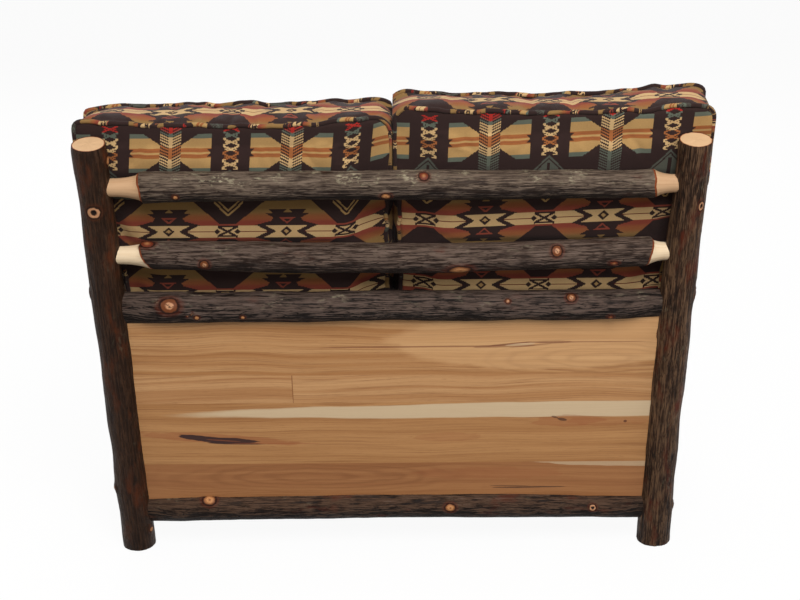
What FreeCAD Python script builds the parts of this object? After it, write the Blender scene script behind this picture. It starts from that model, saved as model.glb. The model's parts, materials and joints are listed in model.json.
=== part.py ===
import FreeCAD, Part
import math
import os

# Hickory log loveseat: a bark-on log frame joined with round tenons, hickory boards let into
# grooves between the logs, a slatted seat on screwed cleats, and four loose boxed cushions.
# Millimetres and degrees. +Z is up, the back is +Y, the sitter's left is +X.
# The origin is on the floor, under the middle of the whole piece.

# Frame: where the four posts stand
POST_SPACING = 1130.0        # between the post axes, left to right
POST_SETBACK = 600.0         # front post axis to back post axis, on the floor
BACK_LEAN = 12.0             # the back frame leans this far from upright
BACK_POST_LENGTH = 978.0     # along the lean, from the floor to the cut top
FRONT_POST_HEIGHT = 708.0
POST_BUTT_DIA = 71.0         # thick end of a post, at the floor
POST_TIP_DIA = 63.0          # thin end of a post, at the top
POST_TOP_ROUND = 3.0         # eased edge of the cut top
FOOT_TRIM = 20.0             # extra post length that the level foot cut takes off

# Logs: natural shape shared by all of them
LOG_SECTIONS = 7             # rings that a log's skin is drawn through
LOG_SWELL = 0.7              # how far the radius swells and narrows along a log
LOG_WAVES = 1.6              # swells along one log
RAIL_TAPER = 4.0             # a rail's butt is this much thicker than its tip
KNOT_RISE = 2.5              # a pruned knot stands this far out of the bark
KNOT_ROOT = 0.55             # share of the log's radius at which a knot starts
KNOT_FLARE = 1.7             # a knot's collar is this much wider at its root

# Back rails: mean diameter, and height measured along the back posts
TOP_RAIL_DIA = 55.0
TOP_RAIL_UP = 886.0
MIDDLE_RAIL_DIA = 57.0
MIDDLE_RAIL_UP = 737.0
LOWER_RAIL_DIA = 60.0
LOWER_RAIL_UP = 615.0
BOTTOM_RAIL_DIA = 61.0
BOTTOM_RAIL_UP = 100.0
BOTTOM_RAIL_BOW = 8.0        # the bottom rail arches up in its middle
MIDDLE_RAIL_BOW = -11.0      # the middle rail sags a little

# Side and front rails: mean diameter and height above the floor
ARM_DIA = 64.0
ARM_HEIGHT = 652.0
SIDE_RAIL_DIA = 50.0
SIDE_RAIL_HEIGHT = 154.0
FRONT_RAIL_DIA = 57.0
FRONT_RAIL_HEIGHT = 276.0
FRONT_BOTTOM_DIA = 50.0
FRONT_BOTTOM_HEIGHT = 98.0
FRONT_FLAT = 8.0             # depth planed off the back of the front rail, for its cleat

# Round tenons and their mortises
TENON_DIA = 35.0             # tenons that show, on the two upper back rails
TENON_SHOW = (52.0, 33.0)    # bare tapered length between post and bark, left end and right end
TENON_SHOULDER_DIA = 47.0    # width of the taper where the bark begins
BARK_BEVEL = 2.0             # knife bevel round the bark's edge
TENON_WAIST = 0.55           # share of the bare length at which its flare begins to open
TENON_WAIST_SWELL = 0.2      # share of the flare reached there
HIDDEN_TENON_DIA = 30.0      # tenons of the rails that are coped to their posts
TENON_INSET = 6.0            # a tenon stops this far short of the post's axis
TENON_ROOT = 45.0            # length of a hidden tenon inside its own rail
TENON_CHAMFER = 1.5
MORTISE_PLAY = 0.1           # glue room round a tenon
MORTISE_END_GAP = 1.0        # glue room beyond a tenon's end
COPE_PLAY = 0.2              # room between a coped end and its post
COPE_REACH = 0.62            # a coped end reaches in to this share of the post's radius

# Hickory boards
BOARD_THICKNESS = 19.0
BOARD_EASE = 2.0             # board edge to hidden tenon, at the rails
GROOVE_DEPTH = 12.0          # how deep the boards' ends are let into the posts
GROOVE_PLAY = 0.2            # room on each face of a board
GROOVE_END_GAP = 0.5         # room beyond a board's edge or end
BACK_BOARD_SHARES = (0.30, 0.145, 0.33, 0.225)   # board widths, top to bottom
BACK_BOARD_JOINT = 209.0     # end joint in the narrow second row, from the middle
SIDE_BOARD_SHARES = (0.36, 0.30, 0.34)
FRONT_BOARD_SHARES = (0.55, 0.45)

# Slatted seat
CLEAT_THICKNESS = 25.0
CLEAT_WIDTH = 42.0
CLEAT_END_GAP = 2.0          # cleat end to the post or cleat beside it
SLAT_COUNT = 9
SLAT_WIDTH = 95.0
SLAT_THICKNESS = 19.0
SLAT_MARGIN = 8.0            # outer slat to the post's inner face
SLAT_END_GAP = 1.0           # slat ends to the front rail and to the back boards

# Wood screws
SCREW_SHANK_DIA = 4.2
SCREW_HEAD_DIA = 8.4
SCREW_HEAD_HEIGHT = 2.6
SCREW_TIP = 5.0              # length of the pointed end
SLAT_SCREW_LENGTH = 38.0
CLEAT_SCREW_LENGTH = 38.0
SCREW_PLAY = 0.1
FRONT_CLEAT_SCREWS = 5
SIDE_CLEAT_SCREWS = 3

# Cushions
COVER_THICKNESS = 2.0        # woven cover with its wadding
WELT_DIA = 9.0               # corded welt sewn into each cushion's seams
WELT_RISE = 4.0              # how far a welt stands out of its seam
WELT_FLAT = 0.45             # share of the welt's width at its full rise
CORE_GAP = 0.5               # cover to foam core
CUSHION_GAP = 0.5            # cushion to whatever it rests on
CUSHION_SIDE_GAP = 3.0       # cushion to posts and arms
CUSHION_MIDDLE_GAP = 1.5     # each cushion to the middle plane
CUSHION_CORNER = 38.0        # corner rounding of the covers
CUSHION_PULL = 9.0           # sides draw in this far between the corners
SIDE_FOR_FULL_PULL = 500.0   # a side this long draws in by the whole pull
CORNER_BLEND = 0.25          # roundness of the corners between them
CROWN_SHOULDER_RISE = 0.62   # share of a crown risen at its shoulder
SEAT_BOXING = 116.0          # height of the seat cushions' sewn sides
SEAT_CROWN = 20.0
SEAT_SHOULDER = 0.90         # scale of the outline at the crown's shoulder
SEAT_PLATEAU = 0.72          # scale of the outline at the crown's top
SEAT_BASE_ROUND = 8.0        # seam height above the flat underside
SEAT_OVERHANG = 18.0         # seat cushions reach in front of the front post axis
BACK_BOXING = 112.0
BACK_REAR_CROWN = 10.0
BACK_FRONT_CROWN = 24.0
BACK_SHOULDER = 0.80
BACK_PLATEAU = 0.50
BACK_TOP_LEFT = 1006.0       # rear top seam of the left cushion, along the posts
BACK_TOP_RIGHT = 1030.0      # the right cushion stands a little higher
BACK_TOP_SLOPE = 0.08        # top boxing drops towards the front
BACK_TOP_PULL = 1.4          # their top seams sag more than the other sides draw in
BACK_INNER_PULL = 0.2        # the sides that meet in the middle stay nearly straight
BACK_FLARE = 78.0            # the cushions spread this far over each arm
BACK_FLARE_RISE = 165.0      # height in which they spread

# Shares: where the knots sit on each log (along its length, angle round it, diameter)
LEFT_POST_KNOTS = ((0.871, 0, 18), (0.674, -88, 12), (0.185, -68, 12), (0.07, 62, 12), (0.968, 82, 13))
RIGHT_POST_KNOTS = ((0.873, 34, 12), (0.662, 86, 14), (0.57, -82, 12), (0.12, 88, 12))
TOP_RAIL_KNOTS = ((0.073, 100, 9), (0.477, 104, 13), (0.55, 28, 14))
MIDDLE_RAIL_KNOTS = ((0.117, 92, 13), (0.622, 116, 24), (0.813, 46, 15), (0.926, 104, 11))
LOWER_RAIL_KNOTS = ((0.094, 52, 20), (0.706, 44, 7), (0.821, 32, 13), (0.893, 110, 12))
BOTTOM_RAIL_KNOTS = ((0.132, 30, 18), (0.607, 70, 14), (0.888, 68, 13))
PLAIN_KNOTS = ((0.31, 70, 14), (0.74, 118, 12))

LEAN = math.radians(BACK_LEAN)
HALF_SPACING = POST_SPACING / 2
POST_MEAN_RADIUS = (POST_BUTT_DIA + POST_TIP_DIA) / 4
HALF_BOARD = BOARD_THICKNESS / 2
GROOVE_FLOOR = POST_MEAN_RADIUS - GROOVE_DEPTH      # post axis to the floor of its groove
BOARD_END = GROOVE_FLOOR + GROOVE_END_GAP           # post axis to a board's end
BOARD_EDGE = HIDDEN_TENON_DIA / 2 + BOARD_EASE      # rail axis to a board's edge
FRONT_Y = -(POST_SETBACK + BACK_POST_LENGTH * math.sin(LEAN)
            + POST_TIP_DIA / 2 * math.cos(LEAN) - POST_BUTT_DIA / 2) / 2
BACK_Y = FRONT_Y + POST_SETBACK
SLAT_TOP = FRONT_RAIL_HEIGHT + FRONT_RAIL_DIA / 2 + RAIL_TAPER / 4 + LOG_SWELL   # level with the front rail
SLAT_BOTTOM = SLAT_TOP - SLAT_THICKNESS
SEAT_TOP = SLAT_TOP + CUSHION_GAP + SEAT_BASE_ROUND + SEAT_BOXING + SEAT_CROWN
RAIL_REACH = (max(TOP_RAIL_DIA, MIDDLE_RAIL_DIA, LOWER_RAIL_DIA) + RAIL_TAPER / 2) / 2 + LOG_SWELL

X = FreeCAD.Vector(1, 0, 0)
Y = FreeCAD.Vector(0, 1, 0)
Z = FreeCAD.Vector(0, 0, 1)
# The back frame is drawn upright, with Y as its normal, and then leaned as a whole.
BACK_PLACE = FreeCAD.Placement(FreeCAD.Vector(0, BACK_Y, 0), FreeCAD.Rotation(X, -BACK_LEAN))


def vec(x, y, z):
    return FreeCAD.Vector(x, y, z)


def box(x0, x1, y0, y1, z0, z1):
    return Part.makeBox(x1 - x0, y1 - y0, z1 - z0, vec(x0, y0, z0))


def leaned(shape):
    """The back frame's shape, tilted from its upright drawing to where it stands."""
    moved = shape.copy()
    moved.Placement = BACK_PLACE.multiply(moved.Placement)
    return moved


def back_axis_y(height):
    """Y of the back posts' axes at a height above the floor."""
    return BACK_Y + height * math.tan(LEAN)


def back_board_y(height):
    """Y of the back boards' inner face at a height above the floor."""
    return back_axis_y(height) - HALF_BOARD / math.cos(LEAN)


class Log:
    """A round bark-on log that tapers, swells and bows a little along its length."""

    def __init__(self, start, along, ref, length, butt, tip, bow=0.0, phase=0.0):
        self.start = start
        self.along = along
        self.ref = ref
        self.length = length
        self.butt = butt
        self.tip = tip
        self.bow = bow
        self.phase = phase

    def radius(self, share):
        swell = LOG_SWELL * math.sin(2 * math.pi * (LOG_WAVES * share + self.phase))
        return (self.butt + (self.tip - self.butt) * share) / 2 + swell

    def centre(self, share):
        return self.start + self.along * (self.length * share) + self.ref * (
            self.bow * math.sin(math.pi * share))

    def solid(self, grow=0.0):
        rings = []
        for i in range(LOG_SECTIONS):
            share = i / (LOG_SECTIONS - 1)
            ring = Part.Circle(self.centre(share), self.along, self.radius(share) + grow)
            rings.append(Part.Wire(ring.toShape()))
        return Part.makeLoft(rings, True, False)

    def knot(self, share, angle, diameter):
        """A pruned branch stub; angle 0 points along ref and turns about the log's direction."""
        side = self.along.cross(self.ref)
        turn = math.radians(angle)
        out = self.ref * math.cos(turn) + side * math.sin(turn)
        root = self.radius(share) * KNOT_ROOT
        height = self.radius(share) + KNOT_RISE - root
        return Part.makeCone(diameter / 2 * KNOT_FLARE, diameter / 2, height,
                             self.centre(share) + out * root, out)

    def with_knots(self, knots):
        return self.solid().multiFuse([self.knot(*knot) for knot in knots])


class Joint:
    """Where a rail's tenon enters a post: the end point, the way in and the tenon's size."""

    def __init__(self, post_axis, inward, tenon_dia):
        self.inward = inward
        self.tenon_dia = tenon_dia
        self.tip = post_axis - inward * TENON_INSET

    def mortise(self):
        depth = POST_BUTT_DIA
        floor = self.tip + self.inward * MORTISE_END_GAP
        return Part.makeCylinder(self.tenon_dia / 2 + MORTISE_PLAY, depth, floor, self.inward * -1)

    def hidden_tenon(self):
        length = POST_MEAN_RADIUS + TENON_ROOT
        tenon = Part.makeCylinder(self.tenon_dia / 2, length, self.tip, self.inward * -1)
        end = [edge for edge in tenon.Edges if edge.Closed and edge.CenterOfMass.isEqual(self.tip, 0.01)]
        return tenon.makeChamfer(TENON_CHAMFER, end)


def turned_tenon(joint, post_radius, show):
    """A tapered tenon that shows: straight in its mortise, then flaring to the bark."""
    inside = post_radius - TENON_INSET
    shoulder = inside + show
    thin = joint.tenon_dia / 2
    thick = TENON_SHOULDER_DIA / 2
    waist = vec(thin + (thick - thin) * TENON_WAIST_SWELL, 0, inside + show * TENON_WAIST)
    corners = [vec(0, 0, 0), vec(thin - TENON_CHAMFER, 0, 0), vec(thin, 0, TENON_CHAMFER),
               vec(thin, 0, inside)]
    edges = [Part.LineSegment(a, b).toShape() for a, b in zip(corners, corners[1:])]
    flare_end = vec(thick, 0, shoulder)
    edges.append(Part.Arc(corners[-1], waist, flare_end).toShape())
    edges.append(Part.LineSegment(flare_end, vec(0, 0, shoulder)).toShape())
    edges.append(Part.LineSegment(vec(0, 0, shoulder), corners[0]).toShape())
    turned = Part.Face(Part.Wire(edges)).revolve(vec(0, 0, 0), Z, 360)
    turned = Part.makeSolid(turned.Shells[0]) if turned.ShapeType != "Solid" else turned
    turned.Placement = FreeCAD.Placement(joint.tip, FreeCAD.Rotation(Z, joint.inward * -1))
    return turned


def showing_rail(start_axis, end_axis, ref, diameter, post_radius, knots, bow=0.0, phase=0.0):
    """A rail whose two tapered tenons show between its bark and the posts."""
    span = end_axis - start_axis
    along = span / span.Length
    joints = [Joint(start_axis, along * -1, TENON_DIA), Joint(end_axis, along, TENON_DIA)]
    bare = [post_radius + show for show in TENON_SHOW]
    log = Log(start_axis + along * bare[0], along, ref, span.Length - sum(bare),
              diameter + RAIL_TAPER / 2, diameter - RAIL_TAPER / 2, bow, phase)
    body = log.solid()
    ends = [edge for edge in body.Edges if edge.Closed]
    body = body.makeChamfer(BARK_BEVEL, ends)
    pieces = [log.knot(*knot) for knot in knots]
    pieces += [turned_tenon(joint, post_radius, show) for joint, show in zip(joints, TENON_SHOW)]
    return body.multiFuse(pieces).removeSplitter(), joints


def coped_rail(start_axis, end_axis, ref, diameter, posts, knots, bow=0.0, phase=0.0):
    """A rail whose bark is cut to the round of its posts over hidden tenons."""
    span = end_axis - start_axis
    along = span / span.Length
    joints = [Joint(start_axis, along * -1, HIDDEN_TENON_DIA), Joint(end_axis, along, HIDDEN_TENON_DIA)]
    setback = POST_MEAN_RADIUS * COPE_REACH
    log = Log(start_axis + along * setback, along, ref, span.Length - 2 * setback,
              diameter + RAIL_TAPER / 2, diameter - RAIL_TAPER / 2, bow, phase)
    body = log.with_knots(knots)
    for post in posts:
        body = body.cut(post)
    return body.multiFuse([joint.hidden_tenon() for joint in joints]), joints


def groove(x0, x1, z0, z1):
    """The slot that back or front boards sit in, drawn in an upright plane at Y = 0."""
    half = HALF_BOARD + GROOVE_PLAY
    return box(x0, x1, -half, half, z0, z1)


def rows(low, high, shares):
    """Splits a height into board rows, listed from the top down."""
    top = high
    for share in shares:
        bottom = top - (high - low) * share
        yield bottom, top
        top = bottom


def make_back_frame():
    """The leaning back: two posts, four rails and the boards between them."""
    log_length = BACK_POST_LENGTH + FOOT_TRIM
    low = BOTTOM_RAIL_UP + BOARD_EDGE
    high = LOWER_RAIL_UP - BOARD_EDGE
    posts = {}
    copes = []
    for side, sign, knots, phase in (("left", 1, LEFT_POST_KNOTS, 0.05), ("right", -1, RIGHT_POST_KNOTS, 0.4)):
        log = Log(vec(sign * HALF_SPACING, 0, -FOOT_TRIM), Z, Y, log_length, POST_BUTT_DIA, POST_TIP_DIA,
                  phase=phase)
        copes.append(log.solid(COPE_PLAY))
        body = log.solid()
        top = [edge for edge in body.Edges if edge.Closed and edge.CenterOfMass.z > 0]
        body = body.makeFillet(POST_TOP_ROUND, top)
        body = body.multiFuse([log.knot(*knot) for knot in knots])
        inner = sorted((sign * (HALF_SPACING - GROOVE_FLOOR), sign * (HALF_SPACING - POST_BUTT_DIA)))
        posts[side] = body.cut(groove(*inner, low - GROOVE_END_GAP, high + GROOVE_END_GAP))

    rails = {}
    joints = []
    left, right = vec(HALF_SPACING, 0, 0), vec(-HALF_SPACING, 0, 0)
    showing = (("back_rail_top", TOP_RAIL_UP, TOP_RAIL_DIA, TOP_RAIL_KNOTS, 0.0, 0.3),
               ("back_rail_middle", MIDDLE_RAIL_UP, MIDDLE_RAIL_DIA, MIDDLE_RAIL_KNOTS, MIDDLE_RAIL_BOW, 0.7))
    for name, up, diameter, knots, bow, phase in showing:
        rails[name], ends = showing_rail(left + Z * up, right + Z * up, Z, diameter, POST_MEAN_RADIUS,
                                         knots, bow, phase)
        joints += ends
    coped = (("back_rail_lower", LOWER_RAIL_UP, LOWER_RAIL_DIA, LOWER_RAIL_KNOTS, 0.0, 0.15),
             ("back_rail_bottom", BOTTOM_RAIL_UP, BOTTOM_RAIL_DIA, BOTTOM_RAIL_KNOTS, BOTTOM_RAIL_BOW, 0.5))
    slot = groove(-HALF_SPACING, HALF_SPACING, low - GROOVE_END_GAP, high + GROOVE_END_GAP)
    for name, up, diameter, knots, bow, phase in coped:
        rail, ends = coped_rail(left + Z * up, right + Z * up, Z, diameter, copes, knots, bow, phase)
        rails[name] = rail.cut(slot)
        joints += ends
    for joint in joints:
        side = "left" if joint.tip.x > 0 else "right"
        posts[side] = posts[side].cut(joint.mortise())

    boards = {}
    end = HALF_SPACING - BOARD_END
    for number, (bottom, top) in enumerate(rows(low, high, BACK_BOARD_SHARES), 1):
        if number == 2:
            boards["back_board_2_left"] = box(BACK_BOARD_JOINT, end, -HALF_BOARD, HALF_BOARD, bottom, top)
            boards["back_board_2_right"] = box(-end, BACK_BOARD_JOINT, -HALF_BOARD, HALF_BOARD, bottom, top)
        else:
            boards[f"back_board_{number}"] = box(-end, end, -HALF_BOARD, HALF_BOARD, bottom, top)

    nodes = {f"back_post_{side}": leaned(post) for side, post in posts.items()}
    nodes.update({name: leaned(shape) for name, shape in {**rails, **boards}.items()})
    return nodes, [leaned(cope) for cope in copes]


def level_feet(nodes):
    """Cuts the back posts' feet level with the floor."""
    reach = POST_BUTT_DIA * 2
    for side, sign in (("left", 1), ("right", -1)):
        x = sign * HALF_SPACING
        waste = box(x - reach, x + reach, BACK_Y - reach, BACK_Y + reach, -FOOT_TRIM * 3, 0)
        nodes[f"back_post_{side}"] = nodes[f"back_post_{side}"].cut(waste)


def make_front_frame():
    """Two upright front posts with two rails and the front boards between them."""
    low = FRONT_BOTTOM_HEIGHT + BOARD_EDGE
    high = FRONT_RAIL_HEIGHT - BOARD_EDGE
    place = FreeCAD.Placement(vec(0, FRONT_Y, 0), FreeCAD.Rotation())
    slot = groove(-HALF_SPACING, HALF_SPACING, low - GROOVE_END_GAP, high + GROOVE_END_GAP)
    nodes = {}
    copes = []
    for side, sign, phase in (("left", 1, 0.6), ("right", -1, 0.2)):
        log = Log(vec(sign * HALF_SPACING, 0, 0), Z, X * sign, FRONT_POST_HEIGHT, POST_BUTT_DIA, POST_TIP_DIA,
                  phase=phase)
        copes.append(log.solid(COPE_PLAY))
        body = log.solid()
        top = [edge for edge in body.Edges if edge.Closed and edge.CenterOfMass.z > POST_BUTT_DIA]
        body = body.makeFillet(POST_TOP_ROUND, top)
        body = body.multiFuse([log.knot(share, angle * sign, size) for share, angle, size in PLAIN_KNOTS])
        inner = sorted((sign * (HALF_SPACING - GROOVE_FLOOR), sign * (HALF_SPACING - POST_BUTT_DIA)))
        nodes[f"front_post_{side}"] = body.cut(
            groove(*inner, low - GROOVE_END_GAP, high + GROOVE_END_GAP))

    left, right = vec(HALF_SPACING, 0, 0), vec(-HALF_SPACING, 0, 0)
    for name, height, diameter, phase in (("front_rail_upper", FRONT_RAIL_HEIGHT, FRONT_RAIL_DIA, 0.35),
                                          ("front_rail_bottom", FRONT_BOTTOM_HEIGHT, FRONT_BOTTOM_DIA, 0.8)):
        rail, ends = coped_rail(right + Z * height, left + Z * height, Z, diameter, copes, PLAIN_KNOTS,
                                phase=phase)
        nodes[name] = rail.cut(slot)
        for joint in ends:
            post = "front_post_left" if joint.tip.x > 0 else "front_post_right"
            nodes[post] = nodes[post].cut(joint.mortise())
    flat = FRONT_RAIL_DIA / 2 - FRONT_FLAT
    reach = cleat_half_length() + CLEAT_END_GAP
    nodes["front_rail_upper"] = nodes["front_rail_upper"].cut(
        box(-reach, reach, flat, FRONT_RAIL_DIA, FRONT_RAIL_HEIGHT - FRONT_RAIL_DIA,
            FRONT_RAIL_HEIGHT + FRONT_RAIL_DIA))

    end = HALF_SPACING - BOARD_END
    for number, (bottom, top) in enumerate(rows(low, high, FRONT_BOARD_SHARES), 1):
        nodes[f"front_board_{number}"] = box(-end, end, -HALF_BOARD, HALF_BOARD, bottom, top)
    for shape in nodes.values():
        shape.Placement = place.multiply(shape.Placement)
    for cope in copes:
        cope.Placement = place.multiply(cope.Placement)
    return nodes, copes


def add_sides(nodes, back_copes, front_copes):
    """Each side's arm log, bottom rail and boards, let into the front and back posts."""
    low = SIDE_RAIL_HEIGHT + BOARD_EDGE
    high = ARM_HEIGHT - BOARD_EDGE
    half = HALF_BOARD + GROOVE_PLAY
    for index, (side, sign) in enumerate((("left", 1), ("right", -1))):
        x = sign * HALF_SPACING
        front_post, back_post = f"front_post_{side}", f"back_post_{side}"
        slot_low, slot_high = low - GROOVE_END_GAP, high + GROOVE_END_GAP
        slot = box(x - half, x + half, FRONT_Y + GROOVE_FLOOR, back_axis_y(slot_high), slot_low, slot_high)
        for name, height, diameter, phase in ((f"arm_log_{side}", ARM_HEIGHT, ARM_DIA, 0.1),
                                              (f"side_rail_bottom_{side}", SIDE_RAIL_HEIGHT, SIDE_RAIL_DIA, 0.55)):
            rail, ends = coped_rail(vec(x, FRONT_Y, height), vec(x, back_axis_y(height), height), Z, diameter,
                                    [back_copes[index], front_copes[index]],
                                    [(share, angle * sign, size) for share, angle, size in PLAIN_KNOTS],
                                    phase=phase + index / 3)
            nodes[name] = rail.cut(slot)
            nodes[front_post] = nodes[front_post].cut(ends[0].mortise())
            nodes[back_post] = nodes[back_post].cut(ends[1].mortise())
        nodes[front_post] = nodes[front_post].cut(
            box(x - half, x + half, FRONT_Y + GROOVE_FLOOR, FRONT_Y + POST_BUTT_DIA, slot_low, slot_high))
        nodes[back_post] = nodes[back_post].cut(side_prism(x, half, -GROOVE_FLOOR, -POST_BUTT_DIA,
                                                           slot_low, slot_high))
        for number, (bottom, top) in enumerate(rows(low, high, SIDE_BOARD_SHARES), 1):
            nodes[f"side_board_{side}_{number}"] = side_board(x, bottom, top)


def prism(x0, x1, corners):
    """A solid of one outline in the YZ plane, from x0 to x1."""
    points = [vec(x0, y, z) for y, z in corners]
    face = Part.Face(Part.makePolygon(points + points[:1]))
    return face.extrude(vec(x1 - x0, 0, 0))


def side_prism(x, half, near, far, bottom, top):
    """A slab along the leaning post: near and far are distances from its axis, square to it."""
    near_y, far_y = near / math.cos(LEAN), far / math.cos(LEAN)
    return prism(x - half, x + half, [(back_axis_y(bottom) + near_y, bottom), (back_axis_y(top) + near_y, top),
                                      (back_axis_y(top) + far_y, top), (back_axis_y(bottom) + far_y, bottom)])


def side_board(x, bottom, top):
    """A side board: square at the front post, cut to the lean at the back post."""
    front = FRONT_Y + BOARD_END
    back = BOARD_END / math.cos(LEAN)
    return prism(x - HALF_BOARD, x + HALF_BOARD, [(front, bottom), (front, top), (back_axis_y(top) - back, top),
                                                  (back_axis_y(bottom) - back, bottom)])


def cleat_half_length():
    """Half the length of the front and back cleats, which run between the side cleats."""
    return HALF_SPACING - HALF_BOARD - CLEAT_THICKNESS - CLEAT_END_GAP


def screw(length):
    """A countersunk wood screw, head up at Z = 0, pointing down."""
    shank, head = SCREW_SHANK_DIA / 2, SCREW_HEAD_DIA / 2
    corners = [vec(0, 0, 0), vec(head, 0, 0), vec(shank, 0, -SCREW_HEAD_HEIGHT),
               vec(shank, 0, SCREW_TIP - length), vec(0, 0, -length)]
    face = Part.Face(Part.makePolygon(corners + corners[:1]))
    return face.revolve(vec(0, 0, 0), Z, 360)


def screw_hole(length):
    """The countersunk hole for a screw, with a little room all round."""
    grow = SCREW_PLAY
    shank, head = SCREW_SHANK_DIA / 2 + grow, SCREW_HEAD_DIA / 2 + grow
    corners = [vec(0, 0, 2 * grow), vec(head, 0, 2 * grow), vec(head, 0, 0), vec(shank, 0, -SCREW_HEAD_HEIGHT),
               vec(shank, 0, -length - grow), vec(0, 0, -length - grow)]
    face = Part.Face(Part.makePolygon(corners + corners[:1]))
    return face.revolve(vec(0, 0, 0), Z, 360)


def put(shape, point, into):
    """Moves a screw drawn pointing down so that it is driven at a point, along a direction."""
    moved = shape.copy()
    moved.Placement = FreeCAD.Placement(point, FreeCAD.Rotation(Z * -1, into))
    return moved


def spread(count, half):
    """Evenly spaced places from -half to half."""
    return [half * (2 * i / (count - 1) - 1) for i in range(count)]


def add_seat(nodes):
    """Cleats round the inside of the frame, the slats on them, and their screws."""
    top, bottom = SLAT_BOTTOM, SLAT_BOTTOM - CLEAT_WIDTH
    half = cleat_half_length()
    front = FRONT_Y + FRONT_RAIL_DIA / 2 - FRONT_FLAT
    slant = CLEAT_THICKNESS / math.cos(LEAN)
    nodes["seat_cleat_front"] = box(-half, half, front, front + CLEAT_THICKNESS, bottom, top)
    nodes["seat_cleat_back"] = prism(-half, half, [(back_board_y(bottom), bottom), (back_board_y(top), top),
                                                   (back_board_y(top) - slant, top),
                                                   (back_board_y(bottom) - slant, bottom)])
    side_front = FRONT_Y + POST_BUTT_DIA / 2 + CLEAT_END_GAP
    side_back = back_axis_y(bottom) - POST_BUTT_DIA / 2 / math.cos(LEAN) - CLEAT_END_GAP
    inner = HALF_SPACING - HALF_BOARD
    for side, sign in (("left", 1), ("right", -1)):
        x0, x1 = sorted((sign * inner, sign * (inner - CLEAT_THICKNESS)))
        nodes[f"seat_cleat_{side}"] = box(x0, x1, side_front, side_back, bottom, top)

    middle = (top + bottom) / 2
    back_face = back_board_y(middle) - slant
    driven = []
    for x in spread(FRONT_CLEAT_SCREWS, half * 0.88):
        driven.append((vec(x, front + CLEAT_THICKNESS, middle), Y * -1))
        driven.append((vec(x, back_face, middle), vec(0, math.cos(LEAN), -math.sin(LEAN))))
    reach = (side_back - side_front) / 2
    for sign in (1, -1):
        for y in spread(SIDE_CLEAT_SCREWS, reach * 0.8):
            driven.append((vec(sign * (inner - CLEAT_THICKNESS), (side_front + side_back) / 2 + y, middle),
                           X * sign))
    nodes["cleat_screws"] = drive(nodes, driven, CLEAT_SCREW_LENGTH,
                                  [name for name in nodes if "cleat" in name or "board" in name
                                   or name == "front_rail_upper"])

    edge = HALF_SPACING - POST_BUTT_DIA / 2 - SLAT_MARGIN - SLAT_WIDTH / 2
    slat_front = front + SLAT_END_GAP
    slat_back = back_board_y(SLAT_BOTTOM) - SLAT_END_GAP
    driven = []
    slats = []
    for number, x in enumerate(spread(SLAT_COUNT, edge), 1):
        name = f"seat_slat_{number}"
        slats.append(name)
        nodes[name] = box(x - SLAT_WIDTH / 2, x + SLAT_WIDTH / 2, slat_front, slat_back, SLAT_BOTTOM, SLAT_TOP)
        for y in (front + CLEAT_THICKNESS / 2, back_board_y(top) - slant / 2):
            driven.append((vec(x, y, SLAT_TOP), Z * -1))
    nodes["slat_screws"] = drive(nodes, driven, SLAT_SCREW_LENGTH,
                                 slats + ["seat_cleat_front", "seat_cleat_back"])


def drive(nodes, driven, length, targets):
    """Drills the named pieces for a set of screws and returns the screws as one group."""
    holes = [put(screw_hole(length), point, into) for point, into in driven]
    for name in targets:
        hits = [hole for hole in holes if hole.BoundBox.intersect(nodes[name].BoundBox)]
        if hits:
            nodes[name] = nodes[name].cut(hits)
    return Part.makeCompound([put(screw(length), point, into) for point, into in driven])


def outline(corners, level, scale, grow, lift):
    """A cushion outline of arcs: sides drawn in between rounded corners.

    corners are (x, z, pull) in order; pull is 0 where the side that follows is straight. They are
    scaled about their middle, moved outwards by grow, and lift turns each point and its level
    into a place in space.
    """
    middle_x = sum(x for x, _, _ in corners) / len(corners)
    middle_z = sum(z for _, z, _ in corners) / len(corners)
    points = [vec(middle_x + (x - middle_x) * scale + grow * math.copysign(1, x - middle_x),
                  middle_z + (z - middle_z) * scale + grow * math.copysign(1, z - middle_z), 0)
              for x, z, _ in corners]
    sides = []
    for point, after, (_, _, pull) in zip(points, points[1:] + points[:1], corners):
        side = after - point
        inward = vec(-side.y, side.x, 0) / side.Length
        trim = side * min(CUSHION_CORNER * scale / side.Length, 0.3)
        sag = CUSHION_PULL * pull * scale * side.Length / SIDE_FOR_FULL_PULL
        sides.append((point + trim, (point + after) * 0.5 + inward * sag, after - trim))
    edges = []
    for i, point in enumerate(points):
        before, after = sides[i - 1][2], sides[i][0]
        rounded = (before + after) * CORNER_BLEND + point * (1 - 2 * CORNER_BLEND)
        edges.append(Part.Arc(*[lift(place, level) for place in (before, rounded, after)]).toShape())
        side = [lift(place, level) for place in sides[i]]
        edges.append((Part.Arc(*side) if corners[i][2] else Part.LineSegment(side[0], side[2])).toShape())
    return Part.Wire(edges)


def pillow(corners_at, ends, seams, lift, corded):
    """A boxed cushion, lofted stretch by stretch between its two seams and out to its two ends.

    corners_at gives the corners at a level, and ends holds the outlines beyond each of the two
    seams. A corded cushion has a rounded welt standing out along both seams.
    """
    step = math.copysign(WELT_DIA / 2, seams[1] - seams[0]) if corded else 0.0

    def ring(level, grow=0.0):
        return corners_at(level), level, 1.0, grow

    stretches = [([ring(seams[0] + step), ring(seams[1] - step)], True)]
    for end, seam, out in zip(ends, seams, (-step, step)):
        stretches.append(([ring(seam + out)] + end, False))
        if corded:
            cord = [ring(seam + out * share, WELT_RISE) for share in (-WELT_FLAT, WELT_FLAT)]
            stretches.append(([ring(seam - out)] + cord + [ring(seam + out)], True))
    lofts = [Part.makeLoft([outline(*each, lift) for each in rings], True, ruled) for rings, ruled in stretches]
    return lofts[0].multiFuse(lofts[1:]).removeSplitter().Solids[0]


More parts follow.
